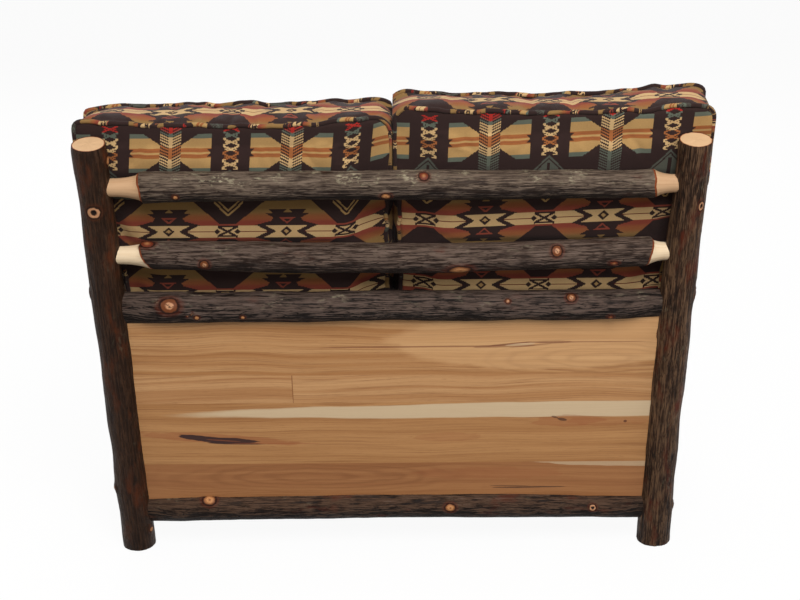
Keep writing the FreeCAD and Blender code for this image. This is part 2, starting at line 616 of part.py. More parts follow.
def crown(corners_at, seam, top, shoulder_scale, top_scale):
    """The outlines beyond a seam, out to the top of a crown."""
    shoulder = seam + (top - seam) * CROWN_SHOULDER_RISE
    return [(corners_at(shoulder), shoulder, shoulder_scale, 0.0), (corners_at(top), top, top_scale, 0.0)]


def seat_cushion(sign, inset):
    """A seat cushion: flat where it lies on the slats, crowned on top; inset shrinks it all round."""
    inner = CUSHION_MIDDLE_GAP + WELT_RISE + inset
    outer = HALF_SPACING - POST_BUTT_DIA / 2 - CUSHION_SIDE_GAP - WELT_RISE - inset
    front = FRONT_Y - SEAT_OVERHANG + inset
    back = back_board_y(SLAT_TOP) - CUSHION_SIDE_GAP - WELT_RISE - inset
    base = SLAT_TOP + CUSHION_GAP + inset
    low_seam = base + SEAT_BASE_ROUND
    high_seam = SEAT_TOP - SEAT_CROWN - inset
    corners = [(inner, front, 1), (outer, front, 1), (outer, back, 1), (inner, back, 1)]

    def corners_at(level):
        return corners

    def lift(point, level):
        return vec(sign * point.x, point.y, level)

    underside = [(corners, base, 1.0, -SEAT_BASE_ROUND)]
    top = crown(corners_at, high_seam, high_seam + SEAT_CROWN, SEAT_SHOULDER, SEAT_PLATEAU)
    return pillow(corners_at, (underside, top), (low_seam, high_seam), lift, inset == 0)


def back_cushion(sign, top_up, inset):
    """A back cushion: level on the seat, leaning on the rails, spreading above the arms."""
    rear = -(RAIL_REACH + CUSHION_GAP)
    rear_seam = rear - BACK_REAR_CROWN - inset
    front_seam = rear - BACK_REAR_CROWN - BACK_BOXING + inset
    inner = CUSHION_MIDDLE_GAP + WELT_RISE + inset
    arm_reach = max(ARM_DIA + RAIL_TAPER / 2, POST_BUTT_DIA) / 2
    waist = HALF_SPACING - arm_reach - CUSHION_SIDE_GAP - WELT_RISE - inset
    wide = waist + BACK_FLARE
    arm_top = (ARM_HEIGHT + arm_reach) / math.cos(LEAN)

    def corners_at(level):
        base = (SEAT_TOP + CUSHION_GAP + WELT_RISE + inset + level * math.sin(LEAN)) / math.cos(LEAN)
        top = top_up - WELT_RISE - inset + (level - rear_seam) * BACK_TOP_SLOPE
        return [(inner, base, 0), (waist, base, 1), (waist, arm_top, 1), (wide, arm_top + BACK_FLARE_RISE, 1),
                (wide, top, BACK_TOP_PULL), (inner, top, BACK_INNER_PULL)]

    def lift(point, level):
        return vec(sign * point.x, level, point.y)

    ends = (crown(corners_at, rear_seam, rear_seam + BACK_REAR_CROWN, BACK_SHOULDER, BACK_PLATEAU),
            crown(corners_at, front_seam, front_seam - BACK_FRONT_CROWN, BACK_SHOULDER, BACK_PLATEAU))
    return leaned(pillow(corners_at, ends, (rear_seam, front_seam), lift, inset == 0))


def add_cushions(nodes):
    """Four loose cushions, each a woven cover round a foam core."""
    inner = COVER_THICKNESS + CORE_GAP
    for side, sign, top_up in (("left", 1, BACK_TOP_LEFT), ("right", -1, BACK_TOP_RIGHT)):
        nodes[f"seat_cushion_cover_{side}"] = seat_cushion(sign, 0).cut(seat_cushion(sign, COVER_THICKNESS))
        nodes[f"seat_cushion_core_{side}"] = seat_cushion(sign, inner)
        nodes[f"back_cushion_cover_{side}"] = back_cushion(sign, top_up, 0).cut(
            back_cushion(sign, top_up, COVER_THICKNESS))
        nodes[f"back_cushion_core_{side}"] = back_cushion(sign, top_up, inner)


def main():
    nodes, back_copes = make_back_frame()
    front_nodes, front_copes = make_front_frame()
    nodes.update(front_nodes)
    add_sides(nodes, back_copes, front_copes)
    level_feet(nodes)
    add_seat(nodes)
    add_cushions(nodes)
    os.makedirs("parts", exist_ok=True)
    for name, shape in nodes.items():
        shape.exportStep(f"parts/{name}.step")
        print(name, len(shape.Solids), shape.isValid(), round(shape.Volume / 1000), "cm3")


main()
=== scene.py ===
"""Looks of the hickory log loveseat: bark-on logs, lacquered boards and blanket-cloth cushions.

Metres. +Z is up, the back is +Y and the sitter's left is +X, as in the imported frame.
"""
import json
import logging
import math
from dataclasses import dataclass, replace
from enum import Enum
from typing import Any, Optional, Sequence, Union

import bmesh
import bpy
import numpy as np
from bpy.types import ColorRamp, Material, Mesh, Node, NodeSocket, NodeTree, Object
from mathutils import Matrix, Vector
from mathutils.bvhtree import BVHTree
from mathutils.kdtree import KDTree


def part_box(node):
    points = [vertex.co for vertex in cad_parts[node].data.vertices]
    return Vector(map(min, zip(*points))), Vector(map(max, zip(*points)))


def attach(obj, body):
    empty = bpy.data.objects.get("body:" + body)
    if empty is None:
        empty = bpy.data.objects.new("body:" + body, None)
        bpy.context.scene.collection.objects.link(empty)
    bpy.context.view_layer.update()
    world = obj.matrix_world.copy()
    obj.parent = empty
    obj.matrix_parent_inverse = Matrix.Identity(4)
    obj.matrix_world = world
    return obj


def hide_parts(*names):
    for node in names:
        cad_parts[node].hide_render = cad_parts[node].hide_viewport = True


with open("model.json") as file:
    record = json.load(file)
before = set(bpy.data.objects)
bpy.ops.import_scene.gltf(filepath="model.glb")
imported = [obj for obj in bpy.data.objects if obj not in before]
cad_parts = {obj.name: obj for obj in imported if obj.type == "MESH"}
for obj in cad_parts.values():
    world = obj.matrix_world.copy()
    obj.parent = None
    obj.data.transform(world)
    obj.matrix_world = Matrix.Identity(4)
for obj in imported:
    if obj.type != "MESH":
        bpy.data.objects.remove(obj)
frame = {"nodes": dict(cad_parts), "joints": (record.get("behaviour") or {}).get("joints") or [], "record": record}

LOG = logging.getLogger("loveseat")
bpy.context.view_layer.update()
MM = 0.001
TURN = 2 * math.pi
X = Vector((1, 0, 0))
Y = Vector((0, 1, 0))
Z = Vector((0, 0, 1))

Array = np.ndarray
Pair = tuple[float, float]
Triple = tuple[float, float, float]
Colour = tuple[float, float, float, float]
Value = Union["Shade", float]
Options = Optional[dict[Any, Any]]


def srgb(red: int, green: int, blue: int) -> Colour:
    """A colour as it is seen, from 0 to 255, in the linear form that shaders take.

    Args:
        red: Red, 0 to 255.
        green: Green, 0 to 255.
        blue: Blue, 0 to 255.

    Returns:
        Linear red, green and blue, and an alpha of 1.
    """
    seen = [part / 255 for part in (red, green, blue)]
    linear = [part / 12.92 if part <= 0.04045 else ((part + 0.055) / 1.055) ** 2.4 for part in seen]
    return (*linear, 1.0)


class Shade:
    """One output of a node; Python's operators on it add Math nodes."""

    def __init__(self, graph: "Graph", socket: NodeSocket) -> None:
        """Keeps the socket and the graph that it belongs to."""
        self.graph = graph
        self.socket = socket

    def __add__(self, other: Value) -> "Shade":
        """Sum."""
        return self.graph.maths("ADD", self, other)

    def __sub__(self, other: Value) -> "Shade":
        """Difference."""
        return self.graph.maths("SUBTRACT", self, other)

    def __rsub__(self, other: Value) -> "Shade":
        """Difference from a number."""
        return self.graph.maths("SUBTRACT", other, self)

    def __mul__(self, other: Value) -> "Shade":
        """Product."""
        return self.graph.maths("MULTIPLY", self, other)

    def __truediv__(self, other: Value) -> "Shade":
        """Quotient."""
        return self.graph.maths("DIVIDE", self, other)

    def __mod__(self, other: Value) -> "Shade":
        """Remainder, never below zero."""
        return self.graph.maths("FLOORED_MODULO", self, other)

    def __abs__(self) -> "Shade":
        """Size without sign."""
        return self.graph.maths("ABSOLUTE", self)

    def __lt__(self, other: Value) -> "Shade":
        """1 where this is the smaller."""
        return self.graph.maths("LESS_THAN", self, other)

    def __gt__(self, other: Value) -> "Shade":
        """1 where this is the larger."""
        return self.graph.maths("GREATER_THAN", self, other)

    def __and__(self, other: Value) -> "Shade":
        """Both masks."""
        return self.graph.maths("MULTIPLY", self, other)

    def __or__(self, other: Value) -> "Shade":
        """Either mask."""
        return self.graph.maths("MAXIMUM", self, other)

    def between(self, low: float, high: float) -> "Shade":
        """1 above low and below high."""
        return (self > low) & (self < high)

    __radd__ = __add__
    __rmul__ = __mul__


class Graph:
    """A node tree, and the few calls that the finishes are written in."""

    def __init__(self, tree: NodeTree) -> None:
        """Keeps the tree that nodes are added to."""
        self.tree = tree

    def node(self, kind: str, settings: Options = None, sockets: Options = None) -> Node:
        """Adds any node.

        Args:
            kind: The node's type.
            settings: Its settings, set first; stops fills a colour ramp.
            sockets: Values or links of its inputs, by name or number.

        Returns:
            The node.
        """
        made = self.tree.nodes.new(kind)
        for key, value in (settings or {}).items():
            if key == "stops":
                self.fill_ramp(made.color_ramp, value)
            else:
                setattr(made, key, value)
        for key, value in (sockets or {}).items():
            self.feed(made.inputs[key], value)
        return made

    def fill_ramp(self, ramp: ColorRamp, stops: Sequence[tuple[float, Colour]]) -> None:
        """Gives a ramp its stops, each a place and a colour.

        Args:
            ramp: The ramp to fill.
            stops: Places from 0 to 1, each with its colour.
        """
        while len(ramp.elements) < len(stops):
            ramp.elements.new(1.0)
        for element, (place, colour) in zip(ramp.elements, stops):
            element.position = place
            element.color = colour

    def feed(self, socket: NodeSocket, value: Any) -> None:
        """Links a shade to a socket, or sets the socket's own value.

        Args:
            socket: The input to feed.
            value: A shade, or the value to set.
        """
        if isinstance(value, Shade):
            self.tree.links.new(value.socket, socket)
        else:
            socket.default_value = value

    def shade(self, kind: str, settings: Options = None, sockets: Options = None,
              output: Union[int, str] = 0) -> Shade:
        """One output of a new node, by name or number."""
        return Shade(self, self.node(kind, settings, sockets).outputs[output])

    def maths(self, operation: str, *values: Value) -> Shade:
        """A Math node on one to three values."""
        return self.shade("ShaderNodeMath", {"operation": operation}, dict(enumerate(values)))

    def blend(self, share: Value, under: Any, over: Any) -> Shade:
        """A colour mixed from two by a share from 0 to 1."""
        return self.shade("ShaderNodeMix", {"data_type": "RGBA"}, {0: share, 6: under, 7: over}, 2)

    def laid(self, under: Any, *coats: tuple[Value, Any]) -> Any:
        """Colours laid one over another.

        Args:
            under: The colour at the bottom.
            *coats: Masks from 0 to 1, each with its colour, in order.

        Returns:
            The colour that shows.
        """
        for share, over in coats:
            under = self.blend(share, under, over)
        return under

    def drawn_out(self, place: Shade, share: float) -> Shade:
        """Places on a log, whose last number counts for less so that a pattern runs along it."""
        return self.scaled(place, (1.0, 1.0, share))

    def scaled(self, vector: Shade, scale: Triple) -> Shade:
        """A vector stretched along its three directions."""
        return self.shade("ShaderNodeVectorMath", {"operation": "MULTIPLY"}, {0: vector, 1: scale})

    def parts(self, vector: Shade) -> tuple[Shade, Shade, Shade]:
        """The three numbers of a vector."""
        made = self.node("ShaderNodeSeparateXYZ", None, {0: vector})
        return tuple(Shade(self, out) for out in made.outputs)

    def vector(self, *numbers: Value) -> Shade:
        """A vector of three numbers."""
        return self.shade("ShaderNodeCombineXYZ", None, dict(enumerate(numbers)))

    def noise(self, vector: Shade, scale: float, detail: float = 2.0, rough: float = 0.5) -> Shade:
        """Noise from 0 to 1."""
        sockets = {"Vector": vector, "Scale": scale, "Detail": detail, "Roughness": rough}
        return self.shade("ShaderNodeTexNoise", None, sockets, "Fac")

    def rise(self, value: Value, low: float, high: float) -> Shade:
        """A smooth step from 0 at low to 1 at high."""
        sockets = {"Value": value, "From Min": low, "From Max": high}
        return self.shade("ShaderNodeMapRange", {"interpolation_type": "SMOOTHSTEP"}, sockets)

    def ramp(self, value: Value, stops: Sequence[tuple[float, Colour]]) -> Shade:
        """A colour read off a ramp."""
        return self.shade("ShaderNodeValToRGB", {"stops": stops}, {"Fac": value}, "Color")

    def wave(self, value: Shade) -> Shade:
        """A sine of the value, from 0 to 1."""
        return self.maths("SINE", value) * 0.5 + 0.5

    def attribute(self, name: str, output: str) -> Shade:
        """A piece's own attribute, as its Vector or its Fac output."""
        return self.shade("ShaderNodeAttribute", {"attribute_name": name}, None, output)

    def place(self, output: str = "Object") -> Shade:
        """The surface's own coordinates."""
        return self.shade("ShaderNodeTexCoord", None, None, output)

    def mapped(self, vector: Shade, turn: Triple, shift: Triple) -> Shade:
        """A vector turned and then shifted."""
        return self.shade("ShaderNodeMapping", None, {"Vector": vector, "Rotation": turn, "Location": shift})


class Surface(Graph):
    """The node tree of one material."""

    def __init__(self, name: str) -> None:
        """Starts a material of that name.

        Args:
            name: The material's name.
        """
        self.material = bpy.data.materials.new(name)
        self.material.use_nodes = True
        super().__init__(self.material.node_tree)
        self.shader = self.tree.nodes["Principled BSDF"]

    def bump(self, height: Value, strength: float, distance: float) -> None:
        """Presses fine relief into the surface."""
        sockets = {"Height": height, "Strength": strength, "Distance": distance}
        self.feed(self.shader.inputs["Normal"], self.shade("ShaderNodeBump", None, sockets))

    def dress(self, **sockets: Any) -> Material:
        """Feeds the shader's sockets, named with _ for spaces.

        Args:
            **sockets: Values or links, such as Base_Color.

        Returns:
            The finished material.
        """
        for key, value in sockets.items():
            self.feed(self.shader.inputs[key.replace("_", " ")], value)
        return self.material


class KnotStyle(Enum):
    """How a pruned knot looks."""

    CUT = 0.0  # an orange face, cut flush, with rings
    HOLLOW = 1.0  # a pale ring round a dark hollow
    STUB = 2.0  # a reddish rounded stub
    HEART = 3.0  # a pale cracked heart in a wide brown ring


@dataclass(frozen=True)
class BarkFinish:
    """Lacquered hickory bark with its bare tenons, pruned knots and sawn ends."""

    name: str
    furrow: Colour
    body: Colour
    # The crest colour is the ridges' own colour and also a painted highlight where the upper side is made paler.
    crest_and_highlight: Colour
    rust: float  # how much reddish inner bark shows
    lichen: float  # how much pale crust it carries
    ridged: float  # how much of its pattern follows the modelled ridges
    dashed: float  # how much of it is short fine dashes
    painted_top_shading: float = 0.0  # painted light and shade: how much paler the upper side is and how much darker the underside is
    inner_bark: Colour = srgb(86, 34, 17)
    crust: Colour = srgb(158, 148, 122)
    bare_wood: Colour = srgb(187, 151, 116)
    bare_streak: Colour = srgb(166, 128, 92)
    rim: Colour = srgb(128, 62, 30)
    end_wood: Colour = srgb(206, 170, 131)
    end_ring: Colour = srgb(180, 136, 94)
    knot_face: Colour = srgb(190, 134, 86)
    knot_ring: Colour = srgb(98, 54, 30)
    knot_pale: Colour = srgb(172, 124, 90)
    knot_stub: Colour = srgb(92, 40, 24)
    knot_hollow: Colour = srgb(26, 13, 8)
    rim_width: float = 0.0045

    def material(self) -> Material:
        """Builds the finish.

        Returns:
            The material, for any log that carries the attributes a log is made with.
        """
        graph = Surface(self.name)
        place = graph.attribute("log_co", "Vector")
        lines = graph.noise(graph.drawn_out(place, 0.05), 300.0, 4.0, 0.66)
        breaks = graph.noise(graph.drawn_out(place, 0.3), 120.0, 3.0, 0.6)
        fissure = graph.noise(graph.drawn_out(place, 0.1), 190.0, 2.0) - 0.5
        dashes = graph.rise(lines * 0.72 + breaks * 0.28, 0.40, 0.60)
        dashes = dashes * (graph.rise(abs(fissure), 0.004, 0.045) * 0.75 + 0.25)
        fibres = graph.noise(graph.drawn_out(place, 0.12), 620.0, 2.0, 0.6)
        fine = graph.noise(place, 900.0, 2.0)
        colour = self.bark(graph, place, dashes, fibres)
        edge = graph.attribute("edge", "Fac") + (fibres - 0.5) * 0.0012
        bark = graph.rise(edge, 0.0, 0.0008)
        rim = graph.rise(edge, self.rim_width, self.rim_width * 0.7) & bark
        colour = graph.blend(rim, colour, self.rim)
        colour = graph.blend(1 - bark, colour, self.bare(graph, place))
        sawn = graph.rise(graph.attribute("sawn", "Fac"), 0.45, 0.55)
        colour = graph.blend(sawn, colour, self.end_grain(graph, place, fine))
        colour, near_knot = self.knots(graph, colour, fine)
        wooden = (sawn | (1 - bark)) | near_knot
        graph.bump((dashes * 0.65 + fibres * 0.35) * (1.0 - wooden * 0.9), 0.8, 0.0024)
        gloss = 0.52 - dashes * 0.14 - wooden * 0.06
        return graph.dress(Base_Color=colour, Roughness=gloss, Specular_IOR_Level=0.08)

    def bark(self, graph: Graph, place: Shade, dashes: Shade, fibres: Shade) -> Shade:
        """The bark's colour, from its ridges, fibres, inner bark and crust, with painted light on the upper side
        and painted shade underneath.

        Args:
            graph: The graph.
            place: Places on the straight log.
            dashes: Pattern of short dashes.
            fibres: Pattern of fine fibres.

        Returns:
            The colour.
        """
        broad = graph.noise(graph.drawn_out(place, 0.5), 21.0, 3.0) - 0.5
        ridge = graph.rise(graph.attribute("ridge", "Fac"), 0.25, 0.75)
        upward = graph.parts(place)[0]
        # Painted light and shade: the upper side moves towards the crest colour and the underside towards the
        # furrow colour.
        painted_light_gradient = graph.rise(upward, -0.022, 0.024) - 0.5
        level = (ridge - 0.5) * self.ridged + (dashes - 0.35) * self.dashed
        level = level + (fibres - 0.5) * 0.5 + broad * 0.5 + painted_light_gradient * self.painted_top_shading + 0.42
        colour = graph.ramp(level, ((0.0, self.furrow), (0.42, self.body), (1.0, self.crest_and_highlight)))
        reddened = graph.noise(graph.drawn_out(place, 0.35), 34.0, 3.0, 0.6)
        red_share = graph.rise(reddened, 0.66 - 0.16 * self.rust, 0.80 - 0.12 * self.rust)
        red_share = red_share * (1.1 - dashes * 0.5) * (0.8 * self.rust)
        patches = graph.noise(place, 24.0, 2.0)
        flecks = graph.noise(graph.drawn_out(place, 0.45), 150.0, 4.0, 0.68)
        crust = graph.rise(flecks, 0.50, 0.61) & graph.rise(patches, 0.62 - 0.16 * self.lichen, 0.72)
        crust = crust & graph.rise(upward, 0.008, 0.020)
        return graph.laid(colour, (red_share, self.inner_bark), (crust * (0.85 * self.lichen), self.crust))

    def bare(self, graph: Graph, place: Shade) -> Shade:
        """The whittled tenon's colour, with faint streaks along it.

        Args:
            graph: The graph.
            place: Places on the straight log.

        Returns:
            The colour.
        """
        streaks = graph.noise(graph.drawn_out(place, 0.05), 240.0, 3.0)
        turned = graph.noise(graph.scaled(place, (0.06, 0.06, 1.0)), 700.0, 1.0)
        share = graph.rise(streaks, 0.42, 0.75) * 0.55 + turned * 0.18
        return graph.blend(share, self.bare_wood, self.bare_streak)

    def end_grain(self, graph: Graph, place: Shade, fine: Shade) -> Shade:
        """The sawn end's colour: faint rings, a few short checks and a reddish rim.

        Args:
            graph: The graph.
            place: Places on the straight log.
            fine: Fine noise.

        Returns:
            The colour.
        """
        across = graph.drawn_out(place, 0.0)
        wander = graph.noise(across, 60.0, 2.0)
        out = graph.shade("ShaderNodeVectorMath", {"operation": "LENGTH"}, {0: across}, "Value")
        rings = graph.wave(out * 3400.0 + wander * 9.0)
        side, depth, _ = graph.parts(across)
        turn = graph.maths("ARCTAN2", depth, side)
        check = graph.rise(abs(graph.maths("SINE", turn * 2.5 + wander * 5.0)), 0.05, 0.015)
        check = check & graph.rise(out, 0.016, 0.004)
        rim = graph.attribute("rim_share", "Fac")
        return graph.laid(
            self.end_wood,
            (rings * 0.22 + fine * 0.2, self.end_ring),
            (check * 0.55, self.knot_ring),
            (graph.rise(rim, 0.90, 0.955), self.rim),
            (graph.rise(rim, 0.955, 0.985), self.furrow))

    def knots(self, graph: Graph, colour: Shade, fine: Shade) -> tuple[Shade, Shade]:
        """Paints the knots over a log's colour.

        Args:
            graph: The graph.
            colour: The colour so far.
            fine: Fine noise.

        Returns:
            The colour, and a mask of the knots' faces.
        """
        across, along, style = graph.parts(graph.attribute("knot", "Vector"))
        away = graph.attribute("knot_near", "Fac") < 0.97
        wobble = graph.noise(graph.vector(across, along, style), 1.7, 2.0) - 0.5
        out = graph.maths("SQRT", across * across + along * along) + wobble * 0.42 + away * 9.0
        rings = graph.wave(out * 24.0 + wobble * 9.0)
        face = graph.laid(
            self.knot_face,
            (graph.rise(out, 0.40, 0.95), self.knot_ring),
            (rings * 0.3 + fine * 0.2, self.knot_ring),
            (graph.rise(out, 0.24, 0.12) * 0.7, self.knot_ring))
        hollow = graph.blend(graph.rise(out, 0.58, 0.38), self.knot_pale, self.knot_hollow)
        # A stub's paler middle is a painted highlight on its rounded top.
        stub = graph.blend(graph.rise(out, 0.7, 0.0) * 0.5, self.knot_stub, self.knot_face)
        crack = graph.rise(abs(across + wobble * 1.6), 0.14, 0.05) & graph.rise(out, 0.52, 0.40)
        heart = graph.laid(
            self.knot_pale,
            (graph.rise(out, 0.34, 0.56), self.knot_ring),
            (crack * 0.8, self.knot_hollow))
        looks = {KnotStyle.HOLLOW: hollow, KnotStyle.STUB: stub, KnotStyle.HEART: heart}
        for look, tint in looks.items():
            face = graph.blend(style.between(look.value - 0.5, look.value + 0.5), face, tint)
        on_face = graph.rise(out, 1.0, 0.82)
        colour = graph.laid(
            colour,
            (graph.rise(out, 1.9, 1.0) * 0.6, self.inner_bark),
            (graph.rise(out, 1.34, 1.04) * 0.9, self.knot_hollow),
            (on_face, face))
        return colour, on_face


@dataclass(frozen=True)
class Streak:
    """A long mark in a board's figure, placed along and across the grain."""

    along: float
    across: float
    half_length: float
    half_width: float
    colour: Colour
    strength: float = 0.8
    slope: float = 0.0
    ragged: float = 0.25
    wave: float = 0.0  # how far it wanders up and down along the board


@dataclass(frozen=True)
class BoardFinish:
    """A lacquered hickory board: straight grain, darker lines, a figure and its own marks."""

    name: str
    light: Colour
    dark: Colour
    line: Colour
    turn: Triple
    shift: Triple
    seed: float
    figure: Optional[tuple[float, float, float, float]] = None  # along, across, half length, half width
    streaks: tuple[Streak, ...] = ()

    def material(self) -> Material:
        """Builds the finish.

        Returns:
            The material; its grain runs along x once turned and shifted.
        """
        graph = Surface(self.name)
        flat = graph.mapped(graph.place(), self.turn, self.shift)
        along, depth, across = graph.parts(flat)
        own = graph.vector(along, depth + self.seed, across)
        sway = graph.noise(graph.scaled(own, (1.0, 0.4, 1.6)), 3.2, 1.0) - 0.5
        level = across + sway * 0.035 + depth * 0.35
        grain = graph.vector(along * 0.9, level * 62.0, depth * 8.0 + self.seed)
        tone = graph.noise(grain, 1.0, 3.0, 0.55)
        hair = graph.noise(graph.vector(along * 5.0, level * 380.0, depth * 90.0 + self.seed), 1.0, 4.0, 0.64)
        pores = graph.noise(graph.vector(along * 45.0, level * 1100.0, depth * 300.0), 1.0, 2.0)
        colour = graph.blend(graph.rise(tone, 0.30, 0.72), self.light, self.dark)
        lines = graph.noise(graph.vector(along * 0.6, level * 230.0, self.seed * 3.0), 1.0, 2.0)
        colour = graph.blend(graph.rise(lines, 0.62, 0.76) * 0.5, colour, self.line)
        if self.figure:
            colour = self.cathedral(graph, colour, along, across, hair)
        colour = graph.blend(graph.rise(hair, 0.47, 0.72) * 0.58, colour, self.line)
        colour = graph.blend(graph.rise(pores, 0.58, 0.76) * 0.46, colour, self.line)
        for streak in self.streaks:
            colour = self.mark(graph, colour, streak, along, across, hair)
        graph.bump(hair * 0.6 + pores * 0.4, 0.12, 0.0006)
        return graph.dress(Base_Color=colour, Roughness=0.44 + hair * 0.12, Coat_Weight=0.04,
                           Coat_Roughness=0.3, Specular_IOR_Level=0.28)

    def cathedral(self, graph: Graph, colour: Shade, along: Shade, across: Shade, hair: Shade) -> Shade:
        """Nested pointed loops, as where a saw passes through curved growth rings.

        Args:
            graph: The graph.
            colour: The colour so far.
            along: Place along the grain.
            across: Place across it.
            hair: Pattern of fine lines.

        Returns:
            The colour with the loops in it.
        """
        middle, height, half_length, half_width = self.figure
        wander = graph.noise(graph.vector(along * 9.0, across * 26.0, self.seed), 1.0, 2.0) - 0.5
        lengths = abs(along - middle) / half_length
        heights = (across - height) / half_width
        out = graph.maths("SQRT", lengths * lengths * 0.8 + heights * heights + 0.02) + wander * 0.5
        rings = graph.wave(out * 26.0)
        near = graph.rise(out, 1.5, 0.6)
        return graph.blend((rings * rings) * near * (0.22 + hair * 0.50), colour, self.line)

    def mark(self, graph: Graph, colour: Shade, streak: Streak, along: Shade, across: Shade,
             hair: Shade) -> Shade:
        """Lays one streak over the colour.

        Args:
            graph: The graph.
            colour: The colour so far.
            streak: The mark.
            along: Place along the grain.
            across: Place across it.
            hair: Pattern of fine lines.

        Returns:
            The colour with the mark on it.
        """
        run = along - streak.along
        spot = graph.vector(along * 14.0, across * 60.0, streak.along * 9.0)
        wander = graph.noise(spot, 1.0, 3.0, 0.6) - 0.5
        line = graph.vector(along * 5.0, streak.across * 90.0, 0.0)
        drift = (graph.noise(line, 1.0, 1.0) - 0.5) * streak.wave
        lengths = run / streak.half_length
        heights = (across - streak.across - run * streak.slope - drift * 2.0) / streak.half_width
        out = lengths * lengths + heights * heights + wander * (4.0 * streak.ragged)
        share = graph.rise(out, 1.0, 0.72) * (streak.strength * (1.15 - hair * 0.3))
        return graph.blend(graph.maths("MINIMUM", share, 1.0), colour, streak.colour)


@dataclass(frozen=True)
class SteelFinish:
    """Bright zinc-plated screw steel."""

    name: str = "screw_steel"
    dull: Colour = srgb(150, 148, 140)
    bright: Colour = srgb(196, 194, 186)

    def material(self) -> Material:
        """Builds the finish.

        Returns:
            The material.
        """
        graph = Surface(self.name)
        scuff = graph.noise(graph.place(), 900.0, 3.0)
        colour = graph.blend(scuff, self.dull, self.bright)
        return graph.dress(Base_Color=colour, Metallic=1.0, Roughness=0.28 + scuff * 0.2)


